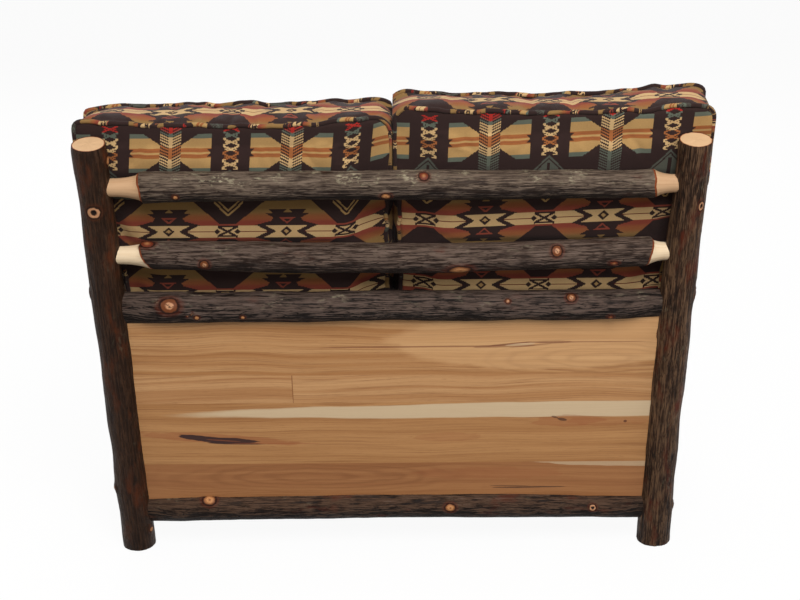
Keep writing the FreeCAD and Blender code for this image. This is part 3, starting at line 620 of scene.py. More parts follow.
@dataclass(frozen=True)
class ClothFinish:
    """Woven blanket cloth in traditional bands of stepped and pointed figures.

    The piece's UV map is in metres from the middle of a feather figure. Sizes below are in
    millimetres: across is u, up is v.
    """

    name: str = "blanket_cloth"
    pitch: float = 229.0  # one figure to the next, across
    repeat: float = 484.0  # one feather band to the next, up
    eye_offset: float = 168.0  # feather band to each eye band beside it
    thread: float = 1.4  # one thread to the next
    cell: float = 1.8  # one step of the woven figures' edges
    ground: Colour = srgb(49, 33, 30)
    cream: Colour = srgb(210, 173, 121)
    tan: Colour = srgb(184, 145, 91)
    rust: Colour = srgb(160, 96, 52)
    red: Colour = srgb(168, 42, 34)
    teal: Colour = srgb(98, 104, 90)
    slate: Colour = srgb(84, 86, 76)
    olive: Colour = srgb(146, 112, 66)
    orange: Colour = srgb(150, 88, 52)
    brick: Colour = srgb(141, 66, 49)
    maroon: Colour = srgb(102, 34, 29)
    shadow: Colour = srgb(24, 16, 14)  # between the threads
    feather_reach: float = 96.0  # half the height of a feather band

    def material(self) -> Material:
        """Builds the finish.

        Returns:
            The material, for any piece with a UV map of the cloth.
        """
        graph = Surface(self.name)
        wide, high, _ = graph.parts(graph.place("UV"))
        wide, high = wide / MM, high / MM
        u = self.snapped(graph, wide)
        v = self.snapped(graph, high)
        lift = self.wrapped(v, self.repeat)
        figure = abs(self.wrapped(u, self.pitch))
        column = abs(self.wrapped(u + self.pitch / 2, self.pitch))
        feathers = self.feather_band(graph, figure, column, lift)
        eyes = self.eye_band(graph, figure, column, abs(lift) - self.eye_offset)
        colour = graph.blend(abs(lift) > self.feather_reach, feathers, eyes)
        ribs = graph.maths("SINE", high * (TURN / self.thread))
        warps = graph.maths("SINE", wide * (TURN / self.thread))
        weave = ribs * warps * 0.25 + 0.5
        slub = graph.noise(graph.vector(wide * 0.25, high * 0.9, 0.0), 1.0, 3.0, 0.6)
        worn = graph.noise(graph.vector(wide, high, 3.0), 0.012, 2.0)
        shade = 0.36 - weave * 0.20 + (slub - 0.5) * 0.34 + (worn - 0.5) * 0.2
        colour = graph.blend(graph.maths("MAXIMUM", shade, 0.0), colour, self.shadow)
        graph.bump(weave * 0.7 + slub * 0.5, 0.5, 0.0012)
        return graph.dress(Base_Color=colour, Roughness=0.88 + slub * 0.08, Specular_IOR_Level=0.12,
                           Sheen_Weight=0.05, Sheen_Roughness=0.5)

    def snapped(self, graph: Graph, value: Shade) -> Shade:
        """A coordinate moved to the middle of its woven cell."""
        return (graph.maths("FLOOR", value / self.cell) + 0.5) * self.cell

    def wrapped(self, value: Shade, period: float) -> Shade:
        """A coordinate from the nearest repeat, from minus half a period to half a period."""
        return (value + period / 2) % period - period / 2

    def feather_band(self, graph: Graph, figure: Shade, column: Shade, lift: Shade) -> Shade:
        """A barbed feather between two wings, with columns of crosses and peaks between them.

        Args:
            graph: The graph.
            figure: Distance across from the feather's middle.
            column: Distance across from the column's middle.
            lift: Height over the band's middle.

        Returns:
            The band's colour.
        """
        rise = abs(lift)
        wing = figure.between(18.0, 77.0) & (rise < 37.5) & (rise < figure * 0.72 + 0.3)
        stripe = graph.laid(
            self.teal,
            (rise < 29.0, self.tan),
            (rise.between(1.4, 8.4), self.rust),
            (rise.between(3.6, 6.0), self.orange),
            ((figure > 69.0) & (rise < 8.0) & (figure + rise > 77.0), self.ground))
        barb = lift - figure * 0.5
        feather = graph.laid(
            self.teal,
            (barb > 38.0, self.red),
            (barb.between(-30.0, 30.0), self.cream),
            (barb.between(-12.0, 8.0), self.rust),
            (barb < -50.0, self.slate),
            (((barb % 5.6) < 2.9) & (figure > 4.0), self.ground))
        vane = (figure < 20.5) & barb.between(-86.0, 51.0)
        return self.columns(graph, graph.laid(self.ground, (wing, stripe), (vane, feather)), column, lift)

    def columns(self, graph: Graph, colour: Shade, column: Shade, lift: Shade) -> Shade:
        """The stacks of small crosses between the feathers, and the peaks below them.

        Args:
            graph: The graph.
            colour: The colour so far.
            column: Distance across from the column's middle.
            lift: Height over the band's middle.

        Returns:
            The colour with the columns on it.
        """
        step = abs(self.wrapped(lift - 48.0, 14.0))
        cross = (abs(step - column * 0.42) < 1.7) | ((step < 1.4) & column.between(7.0, 12.0))
        cross = cross & (column < 15.5) & lift.between(-33.0, 54.0)
        tint = graph.laid(
            self.cream,
            (lift > 41.0, self.red),
            (lift.between(29.0, 41.0), self.teal),
            (lift.between(-12.0, 3.0), self.rust))
        depth = -32.0 - lift - column * 1.08
        peak = graph.laid(
            self.slate,
            (depth.between(5.0, 9.0), self.ground),
            ((column < 3.2) & (lift < -48.0), self.ground))
        return graph.laid(colour, (cross, tint), ((depth > 0.0) & (lift > -98.0), peak))

    def eye_band(self, graph: Graph, figure: Shade, column: Shade, beyond: Shade) -> Shade:
        """A pale stripe of eyes and arrows between stepped temples and pointed hills.

        Args:
            graph: The graph.
            figure: Distance across from the eye's middle.
            column: Distance across from the hill's middle.
            beyond: Height above the stripe's middle, counted away from the feathers.

        Returns:
            The band's colour.
        """
        rise = abs(beyond)
        valley = column < (rise - 19.7) * 1.06 + 19.0
        nested = abs(column - (rise - 35.0) * 0.92) < 2.6
        nested = nested | (abs(column - (rise - 46.0) * 0.92) < 2.2)
        temple = (rise < 22.0) & (figure < 62.0 - (rise - 14.0) * 3.4)
        temple = temple | ((rise < 32.0) & (figure < 33.0 - (rise - 20.0) * 0.6))
        temple = temple | (rise.between(31.0, 41.0) & (figure < 44.0 - (41.0 - rise) * 1.6))
        temple = temple | (rise.between(40.0, 50.0) & (figure < 37.0 - (50.0 - rise) * 0.8))
        slant = (rise - 17.0) * 1.13
        colour = graph.laid(
            self.brick,
            (graph.rise(rise, 20.0, 31.0), self.orange),
            (graph.rise(rise, 31.0, 46.0), self.olive),
            (valley & (rise > 17.0), self.ground),
            (nested & (beyond < -34.0) & (column < 28.0), self.tan),
            (temple, self.ground),
            ((figure < slant) & (rise < 31.0), self.brick),
            ((figure < slant - 4.5) & (rise < 28.0), self.ground),
            ((figure < 51.0 - rise) & (rise > 42.0), self.olive))
        return self.eye_stripe(graph, colour, figure, column, rise)

    def eye_stripe(self, graph: Graph, colour: Shade, figure: Shade, column: Shade, rise: Shade) -> Shade:
        """The pale stripe itself, with its eye, arrows and bow ties.

        Args:
            graph: The graph.
            colour: The colour so far.
            figure: Distance across from the eye's middle.
            column: Distance across from the bow tie's middle.
            rise: Distance from the stripe's middle line.

        Returns:
            The colour with the stripe on it.
        """
        eye = figure / 11.5 + rise / 11.0
        bow = (abs(rise - column * 0.58) < 2.8) & (column < 20.0)
        bow = bow | (rise.between(9.0, 12.4) & (column < 18.0))
        bow = bow | ((rise < 6.0 - abs(column - 20.0) * 0.9) & (column > 12.0))
        stripe = graph.laid(
            self.cream,
            (rise < 1.0, self.maroon),
            ((figure > rise * 1.7 + 19.0) & (figure < rise * 1.75 + 35.0), self.ground),
            ((figure < 21.0) & (rise < 2.0), self.cream),
            (eye < 1.0, self.ground),
            (eye < 0.42, self.tan),
            ((column < 20.0) & (rise < 1.5), self.cream),
            (bow, self.ground))
        return graph.blend(rise < 13.6, colour, stripe)


def deselect_all() -> None:
    """Leaves object mode with nothing selected."""
    if bpy.context.mode != "OBJECT":
        bpy.ops.object.mode_set(mode="OBJECT")
    bpy.ops.object.select_all(action="DESELECT")


def take_up(piece: Object) -> None:
    """Makes a piece the only selected and active one.

    Args:
        piece: The piece.
    """
    deselect_all()
    piece.select_set(True)
    bpy.context.view_layer.objects.active = piece


def edit(piece: Object, elements: str, action: str) -> None:
    """Opens a piece in edit mode.

    Args:
        piece: The piece.
        elements: What is selected from then on: VERT, EDGE or FACE.
        action: SELECT for all of it at first, or DESELECT for none.
    """
    take_up(piece)
    bpy.ops.object.mode_set(mode="EDIT")
    bpy.ops.mesh.select_mode(type=elements)
    bpy.ops.mesh.select_all(action=action)


def read_rows(items: bpy.types.bpy_prop_collection, key: str, width: int = 3) -> Array:
    """Reads one property of all of a mesh's points, corners or faces.

    Args:
        items: The points, corners or faces.
        key: The property's name.
        width: How many numbers it has.

    Returns:
        A row of numbers for each item, or one whole number where the width is 1.
    """
    flat = np.empty(len(items) * width, dtype=float if width > 1 else int)
    items.foreach_get(key, flat)
    return flat.reshape(-1, width) if width > 1 else flat


def coordinates(mesh: Mesh) -> Array:
    """A mesh's points, one row each."""
    return read_rows(mesh.vertices, "co")


def set_coordinates(mesh: Mesh, points: Array) -> None:
    """Moves a mesh's points to the rows of an array."""
    mesh.vertices.foreach_set("co", np.ascontiguousarray(points, dtype=np.float32).ravel())
    mesh.update()


def add_attribute(mesh: Mesh, name: str, values: Array) -> None:
    """Stores one number or one vector per point under a name.

    Args:
        mesh: The mesh.
        name: The attribute's name.
        values: A number or a row for each point.
    """
    kind, key = ("FLOAT_VECTOR", "vector") if values.ndim == 2 else ("FLOAT", "value")
    stored = mesh.attributes.new(name, kind, "POINT")
    stored.data.foreach_set(key, np.ascontiguousarray(values, dtype=np.float32).ravel())


def dress_piece(piece: Object, material: Material) -> None:
    """Gives a piece one material and no other."""
    piece.data.materials.clear()
    piece.data.materials.append(material)


def feet() -> dict[str, Vector]:
    """Where the part stands on the floor, by the name of each foot."""
    return {mount["name"]: Vector(mount["pos_m"]) for mount in frame["record"]["mounts"]}


def rearward(up: Vector) -> Vector:
    """The way out of the back, square to its lean."""
    return X.cross(up) * -1


def eased(values: Array, low: float, high: float) -> Array:
    """A smooth step from 0 at low to 1 at high."""
    share = np.clip((values - low) / (high - low), 0.0, 1.0)
    return share * share * (3 - 2 * share)


def lattice_noise(turn: Array, along: Array, cells: int, pitch: float, seed: int) -> Array:
    """Smooth noise on a log's skin that closes on itself all round.

    Args:
        turn: Place round the log, in turns.
        along: Place along it, in metres.
        cells: Noise cells round the log.
        pitch: Length of a cell along it.
        seed: Picks the pattern.

    Returns:
        A number from 0 to 1 for each place.
    """
    rows = 512
    table = np.random.default_rng(seed).random((rows, cells))
    across, up = turn * cells, along / pitch + rows
    column, row = np.floor(across).astype(int), np.floor(up).astype(int)
    part, climb = eased(across - column, 0.0, 1.0), eased(up - row, 0.0, 1.0)
    left, right = column % cells, (column + 1) % cells
    low, high = row % rows, (row + 1) % rows
    under = table[low, left] * (1 - part) + table[low, right] * part
    over = table[high, left] * (1 - part) + table[high, right] * part
    return under * (1 - climb) + over * climb


def bark_relief(turn: Array, along: Array, cells: int, pitch: float, seed: int) -> Array:
    """Interlacing ridges of hickory bark, from 0 in the furrows to 1 on the crests.

    Args:
        turn: Place round the log, in turns.
        along: Place along it.
        cells: Ridges round the log.
        pitch: Length of a ridge.
        seed: Picks the pattern.

    Returns:
        The height at each place.
    """
    wander = (lattice_noise(turn, along, 7, 0.07, seed) - 0.5) * 0.10
    ridges = 1 - np.abs(2 * lattice_noise(turn + wander, along, cells, pitch, seed + 1) - 1)
    crossing = 1 - np.abs(2 * lattice_noise(turn - wander, along, 2 * cells, pitch * 0.5, seed + 2) - 1)
    grit = lattice_noise(turn, along, 3 * cells, 0.009, seed + 3)
    return np.clip(0.46 * ridges + 0.36 * crossing + 0.26 * grit - 0.04, 0.0, 1.0)


class Gauge:
    """Measures a round log of the frame: its middle line and radius along an axis."""

    RAYS = 40  # rays cast at the skin round each ring
    REACH = 0.2  # how far outside they start
    FITS = 4  # fits, each without the last one's stray points
    NEAR = 0.3 * MM  # a point this near to the circle is never stray
    RINGS = 13
    DEGREE = 4  # of the curves through the rings

    def __init__(self, node: str, start: Vector, along: Vector, ref: Vector) -> None:
        """Prepares to measure a node about an axis.

        Args:
            node: The log's node.
            start: A point on the axis.
            along: The axis.
            ref: The direction that angles are counted from.
        """
        mesh = frame["nodes"][node].data
        corners = [vertex.co for vertex in mesh.vertices]
        self.tree = BVHTree.FromPolygons(corners, [face.vertices for face in mesh.polygons])
        self.start, self.along, self.ref = start, along, ref
        self.side = along.cross(ref)
        reach = (coordinates(mesh) - np.array(start)) @ np.array(along)
        self.low, self.high = float(reach.min()), float(reach.max())

    def ring(self, distance: float) -> Triple:
        """Fits a circle to the log's skin, leaving out knots and grooves.

        Args:
            distance: Place along the axis.

        Returns:
            The middle's offset along ref and along side, and the radius.
        """
        middle = self.start + self.along * distance
        found = []
        for index in range(self.RAYS):
            turn = TURN * index / self.RAYS
            out = self.ref * math.cos(turn) + self.side * math.sin(turn)
            hit = self.tree.ray_cast(middle + out * self.REACH, -out)[0]
            if hit is not None:
                found.append(((hit - middle).dot(self.ref), (hit - middle).dot(self.side)))
        points = np.array(found)
        for _ in range(self.FITS):
            system = np.column_stack([2 * points, np.ones(len(points))])
            solved = np.linalg.lstsq(system, (points ** 2).sum(1), rcond=None)[0]
            radius = math.sqrt(solved[2] + solved[0] ** 2 + solved[1] ** 2)
            miss = np.abs(np.hypot(points[:, 0] - solved[0], points[:, 1] - solved[1]) - radius)
            points = points[miss <= max(self.NEAR, 1.4 * float(np.median(miss)))]
        return float(solved[0]), float(solved[1]), radius

    def profile(self, low: float, high: float) -> list[np.poly1d]:
        """Smooth curves through rings measured from low to high: two offsets and the radius.

        Args:
            low: Where the first ring lies.
            high: Where the last one lies.

        Returns:
            The three curves.
        """
        stations = np.linspace(low, high, self.RINGS)
        rings = np.array([self.ring(float(place)) for place in stations])
        return [np.poly1d(np.polyfit(stations, column, self.DEGREE)) for column in rings.T]


class LogEnd(Enum):
    """How a log ends."""

    SAWN = "sawn across and left to show"
    LEVEL = "cut level with the floor"
    TENON = "whittled to a bare tenon"
    BURIED = "let into a post"


@dataclass(frozen=True)
class Knot:
    """A pruned branch: share of the bark's length, angle round it, size and look."""

    share: float
    angle: float
    size: float
    style: KnotStyle = KnotStyle.CUT
    stretch: float = 1.15


@dataclass(frozen=True)
class BarkShoulder:
    """How far, and towards which angle, the bark's edge slants round a tenon."""

    slant: float
    angle: float


@dataclass
class Log:
    """One bark-on log, shaped over its solid in the frame."""

    node: str
    start: Vector
    along: Vector
    ref: Vector
    ends: tuple[LogEnd, LogEnd]
    knots: tuple[Knot, ...]
    seed: int
    cells: int = 24  # bark ridges round the log
    ridge_length: float = 0.042
    relief: float = 0.0026  # furrow to crest
    lumps: float = 0.0019
    shoulders: tuple[BarkShoulder, BarkShoulder] = (BarkShoulder(0.0, 0.0), BarkShoulder(0.0, 0.0))
    sides: int = 120
    ring_step: float = 0.0046
    cap_insets: int = 5
    bury: float = 0.009  # a buried end stops this far from its post's axis
    cope_setback: float = 0.0208  # where a coped log's own length is counted from
    tenon_inset: float = 0.006
    tenon_inside: float = 0.0275  # straight length inside the post
    tenon_show: Pair = (0.052, 0.033)
    tenon_radius: float = 0.0175
    shoulder_radius: float = 0.0245
    cope_narrowing: float = 0.03  # a coped end's loss of radius where it meets its post
    cope_room: Pair = (0.030, 0.066)
    bow: float = 0.0  # sideways bend in the middle
    thicken: float = 0.0  # bark over the solid's own skin
    hewn: float = 0.0  # share by which a coped end is hewn thinner on its outer face
    hewn_beyond: float = 0.010  # that face starts this far from the log's middle
    hewn_room: Pair = (0.030, 0.110)
    top_flare: float = 0.0
    flare_length: float = 0.09
    bark_bevel: float = 0.005
    bark_tear: float = 0.006  # how ragged the bark's edge is
    knot_rise: float = 0.0026
    knot_crease: float = 0.0009  # depth of the groove round a knot's face
    knot_hollow: float = 0.004  # depth of a hollow knot
    knot_room: float = 4.0  # knot radii within which a point belongs to a knot
    top_round: float = 0.003
    saw_marks: float = 0.0012  # roughness of a sawn end
    crowding: float = 0.55  # how much closer the rings lie towards a tenon
    foot_trim: float = 0.020  # extra length counted below a leaning post's foot
    first_margin: float = 0.06  # the solid is measured from this far inside the bark
    end_margin: float = 0.02
    cope_margin: float = 0.05
    upright: float = 0.999  # an axis steeper than this stands upright
    seed_step: float = 0.37  # length between the patterns of two logs

    def __post_init__(self) -> None:
        """Measures the log and works out where its mesh and its bark begin and end."""
        self.side = self.along.cross(self.ref)
        self.gauge = Gauge(self.node, self.start, self.along, self.ref)
        low, high = self.gauge.low, self.gauge.high
        if LogEnd.TENON in self.ends:
            self.low, self.high = low, high
            self.bark = (low + self.tenon_inside + self.tenon_show[0],
                         high - self.tenon_inside - self.tenon_show[1])
        elif LogEnd.BURIED in self.ends:
            inset = self.tenon_inset
            self.low, self.high = low - inset + self.bury, high + inset - self.bury
            self.bark = (low - inset + self.cope_setback, high + inset - self.cope_setback)
        else:
            self.low, self.high = 0.0, high
            trim = self.foot_trim if self.along.z < self.upright else 0.0
            self.bark = (-trim, high)
        span = self.bark[1] - self.bark[0]
        margin = self.cope_margin if self.ends[0] is LogEnd.BURIED else self.end_margin
        self.curves = self.gauge.profile(self.bark[0] + self.first_margin, self.bark[1] - margin)
        self.length = self.high - self.low
        self.radius = float(self.curves[2](self.bark[0] + span / 2))

    def build(self) -> Object:
        """Models the log.

        Returns:
            The piece, with the attributes that the bark finish reads.
        """
        piece = self.blank()
        self.refine_knots(piece)
        self.shape(piece.data)
        take_up(piece)
        bpy.ops.object.shade_smooth_by_angle(angle=math.radians(55))
        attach(piece, "frame")
        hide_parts(self.node)
        LOG.info("log %s: %d faces, radius %.1f mm", self.node, len(piece.data.polygons), self.radius / MM)
        return piece

    def blank(self) -> Object:
        """A straight round billet with rings along it and rings across its ends.

        Returns:
            The billet, at the origin.
        """
        deselect_all()
        bpy.ops.mesh.primitive_cylinder_add(vertices=self.sides, radius=self.radius, depth=self.length,
                                            end_fill_type="NGON", location=(0, 0, 0))
        piece = bpy.context.object
        piece.name = f"{self.node}_log"
        edit(piece, "EDGE", "DESELECT")
        mesh = bmesh.from_edit_mesh(piece.data)
        for edge in mesh.edges:
            first, last = edge.verts
            edge.select_set(abs(first.co.z - last.co.z) > self.length / 2)
        bpy.ops.mesh.subdivide(number_cuts=int(self.length / self.ring_step))
        bpy.ops.mesh.select_mode(type="FACE")
        bpy.ops.mesh.select_all(action="DESELECT")
        mesh = bmesh.from_edit_mesh(piece.data)
        for face in mesh.faces:
            face.select_set(abs(face.normal.z) > 0.9)
        for _ in range(self.cap_insets):
            bpy.ops.mesh.inset(thickness=self.radius / (self.cap_insets + 1.2))
        bpy.ops.mesh.poke()
        bpy.ops.object.mode_set(mode="OBJECT")
        if LogEnd.TENON in self.ends:
            points = coordinates(piece.data)
            share = points[:, 2] / self.length + 0.5
            crowded = share - self.crowding * np.sin(TURN * share) / TURN
            points[:, 2] = (crowded - 0.5) * self.length
            set_coordinates(piece.data, points)
        return piece

    def knot_place(self, knot: Knot) -> Pair:
        """A knot's angle in radians and its distance along the axis."""
        distance = self.bark[0] + (self.bark[1] - self.bark[0]) * knot.share
        return math.radians(knot.angle), distance

    def refine_knots(self, piece: Object) -> None:
        """Divides the faces round each knot more finely.

        Args:
            piece: The billet.
        """
        edit(piece, "FACE", "DESELECT")
        for knot in self.knots:
            angle, distance = self.knot_place(knot)
            bpy.ops.mesh.select_all(action="DESELECT")
            mesh = bmesh.from_edit_mesh(piece.data)
            for face in mesh.faces:
                middle = face.calc_center_median()
                turn = math.atan2(middle.y, middle.x) - angle
                arc = (turn + math.pi) % TURN - math.pi
                run = middle.z + self.length / 2 + self.low - distance
                on_skin = abs(face.normal.z) < 0.5
                face.select_set(on_skin and math.hypot(arc * self.radius, run / knot.stretch) < knot.size)
            bpy.ops.mesh.subdivide(number_cuts=2)
        bpy.ops.object.mode_set(mode="OBJECT")

    def knot_field(self, turn: Array, distance: Array) -> Array:
        """Each point's place about its nearest knot, in knot radii, and that knot's style.

        Args:
            turn: Angle round the log.
            distance: Place along the axis.

        Returns:
            Across, along and style, a row for each point.
        """
        far = 9.0
        field = np.full((len(turn), 3), far)
        nearest = np.full(len(turn), np.inf)
        for knot in self.knots:
            angle, place = self.knot_place(knot)
            arc = (turn - angle + math.pi) % TURN - math.pi
            across = arc * self.radius / (knot.size / 2)
            run = (distance - place) / (knot.size / 2 * knot.stretch)
            out = np.hypot(across, run)
            closer = (out < nearest) & (out < self.knot_room)
            nearest = np.where(closer, out, nearest)
            placed = np.column_stack([across, run, np.full(len(turn), knot.style.value)])
            field = np.where(closer[:, None], placed, field)
        return field

    def edge_field(self, turn: Array, distance: Array) -> Array:
        """How far each point lies inside the bark's edge, or below zero on a bare tenon.

        Args:
            turn: Angle round the log.
            distance: Place along the axis.

        Returns:
            The distance for each point.
        """
        inside = np.full(len(turn), 1.0)
        if LogEnd.TENON not in self.ends:
            return inside
        ragged = (lattice_noise(turn / TURN, distance, 9, 0.3, self.seed + 40) - 0.5) * self.bark_tear
        for shoulder, place, way in zip(self.shoulders, self.bark, (1, -1)):
            slant = shoulder.slant * np.cos(turn - math.radians(shoulder.angle))
            inside = np.minimum(inside, (distance - place) * way - slant - ragged)
        return inside

    def tenon_profile(self, distance: Array) -> Array:
        """The bare tenon's radius, flaring from the post to the bark at each end.

        Args:
            distance: Place along the axis.

        Returns:
            The radius for each point.
        """
        first = (distance - self.low - self.tenon_inside) / self.tenon_show[0]
        last = (self.high - distance - self.tenon_inside) / self.tenon_show[1]
        flare = np.clip(np.minimum(first, last), 0.0, 2.0)
        return self.tenon_radius + (self.shoulder_radius - self.tenon_radius) * flare ** 2.2

    def skin(self, turn: Array, distance: Array, field: Array, edge: Array) -> tuple[Array, Array]:
        """The log's radius all over, and its ridges.

        Args:
            turn: Angle round the log.
            distance: Place along the axis.
            field: Place about the nearest knot.
            edge: Distance inside the bark's edge.

        Returns:
            The radius and the ridge height from 0 to 1, for each point.
        """
        turns = turn / TURN
        ridge = bark_relief(turns, distance, self.cells, self.ridge_length, self.seed)
        lumps = lattice_noise(turns, distance, 4, 0.085, self.seed + 20) - 0.5
        out = np.hypot(field[:, 0], field[:, 1])
        clear = eased(out, 0.9, 1.5)
        radius = self.curves[2](distance) + self.thicken + lumps * 2 * self.lumps
        radius = radius + (ridge - 0.55) * self.relief * clear
        collar = eased(out, 2.3, 1.0) * self.knot_rise
        face = eased(out, 1.0, 0.0) * self.knot_rise * 0.35
        crease = np.exp(-((out - 1.08) / 0.12) ** 2) * self.knot_crease
        is_hollow = field[:, 2] == KnotStyle.HOLLOW.value
        hollow = np.where(is_hollow, eased(out, 0.55, 0.2) * self.knot_hollow, 0.0)
        radius = radius + collar + face - crease - hollow
        if self.ends[0] is LogEnd.BURIED:
            from_axis = np.minimum(distance - self.low, self.high - distance) + self.bury
            radius = radius * (1 - self.cope_narrowing * (1 - eased(from_axis, *self.cope_room)))
        if LogEnd.TENON in self.ends:
            bark = eased(edge, -0.0005, self.bark_bevel)
            bare = np.minimum(self.tenon_profile(distance), radius)
            radius = bare * (1 - bark) + radius * bark
        return radius, ridge

    def shape(self, mesh: Mesh) -> None:
        """Bends the billet over the frame's log and raises its bark, knots and ends.

        Args:
            mesh: The billet's mesh.
        """
        points = coordinates(mesh)
        turn = np.arctan2(points[:, 1], points[:, 0])
        out = np.hypot(points[:, 0], points[:, 1]) / self.radius
        on_cap = np.abs(np.abs(points[:, 2]) - self.length / 2) < 1e-6
        share = points[:, 2] / self.length + 0.5
        distance = self.low + share * self.length
        field = self.knot_field(turn, distance)
        edge = self.edge_field(turn, distance)
        radius, ridge = self.skin(turn, distance, field, edge)
        out = np.where(on_cap, np.minimum(out, 1.0), 1.0)
        if self.ends[1] is LogEnd.SAWN:
            drop = np.clip((self.high - distance) / self.top_round, 0.0, 1.0)
            radius = radius - self.top_round * (1 - np.sqrt(1 - (1 - drop) ** 2)) * 0.4
            radius = radius + self.top_flare * eased(distance, self.high - self.flare_length, self.high)
            saw = lattice_noise(turn / TURN, out * 0.05, 11, 0.012, self.seed + 30) - 0.5
            distance = distance + np.where(on_cap & (share > 0.5), saw * self.saw_marks * (out < 0.97), 0.0)
        reach = out * radius
        if self.ends[0] is LogEnd.LEVEL and self.along.z < self.upright:
            lean = self.along.y / self.along.z
            floor = reach * np.cos(turn) * lean
            distance = floor + distance * (self.high - floor) / self.high
        low, high = self.bark
        held = np.clip(distance, low, high)
        along_ref = self.curves[0](held) + reach * np.cos(turn)
        sideways = reach * np.sin(turn)
        from_post = np.minimum(distance - self.low, self.high - distance) + self.bury
        hewn_off = np.maximum(sideways - self.hewn_beyond, 0.0) * self.hewn
        sideways = sideways - hewn_off * (1 - eased(from_post, *self.hewn_room))
        along_side = self.curves[1](held) + sideways + self.bow * np.sin(math.pi * share)
        placed = (np.array(self.start) + np.outer(distance, self.along) + np.outer(along_ref, self.ref)
                  + np.outer(along_side, self.side))
        set_coordinates(mesh, placed)
        straight = np.column_stack([out * self.radius * np.cos(turn), out * self.radius * np.sin(turn),
                                    share * self.length + self.seed * self.seed_step])
        rim = on_cap & (out > 0.999)
        sawn = np.where(on_cap, np.where(rim, 0.5, 1.0), 0.0)
        near = (np.hypot(field[:, 0], field[:, 1]) < self.knot_room).astype(float)
        for name, values in (("log_co", straight), ("ridge", ridge), ("edge", edge), ("sawn", sawn),
                             ("rim_share", out), ("knot", field), ("knot_near", near)):
            add_attribute(mesh, name, values)


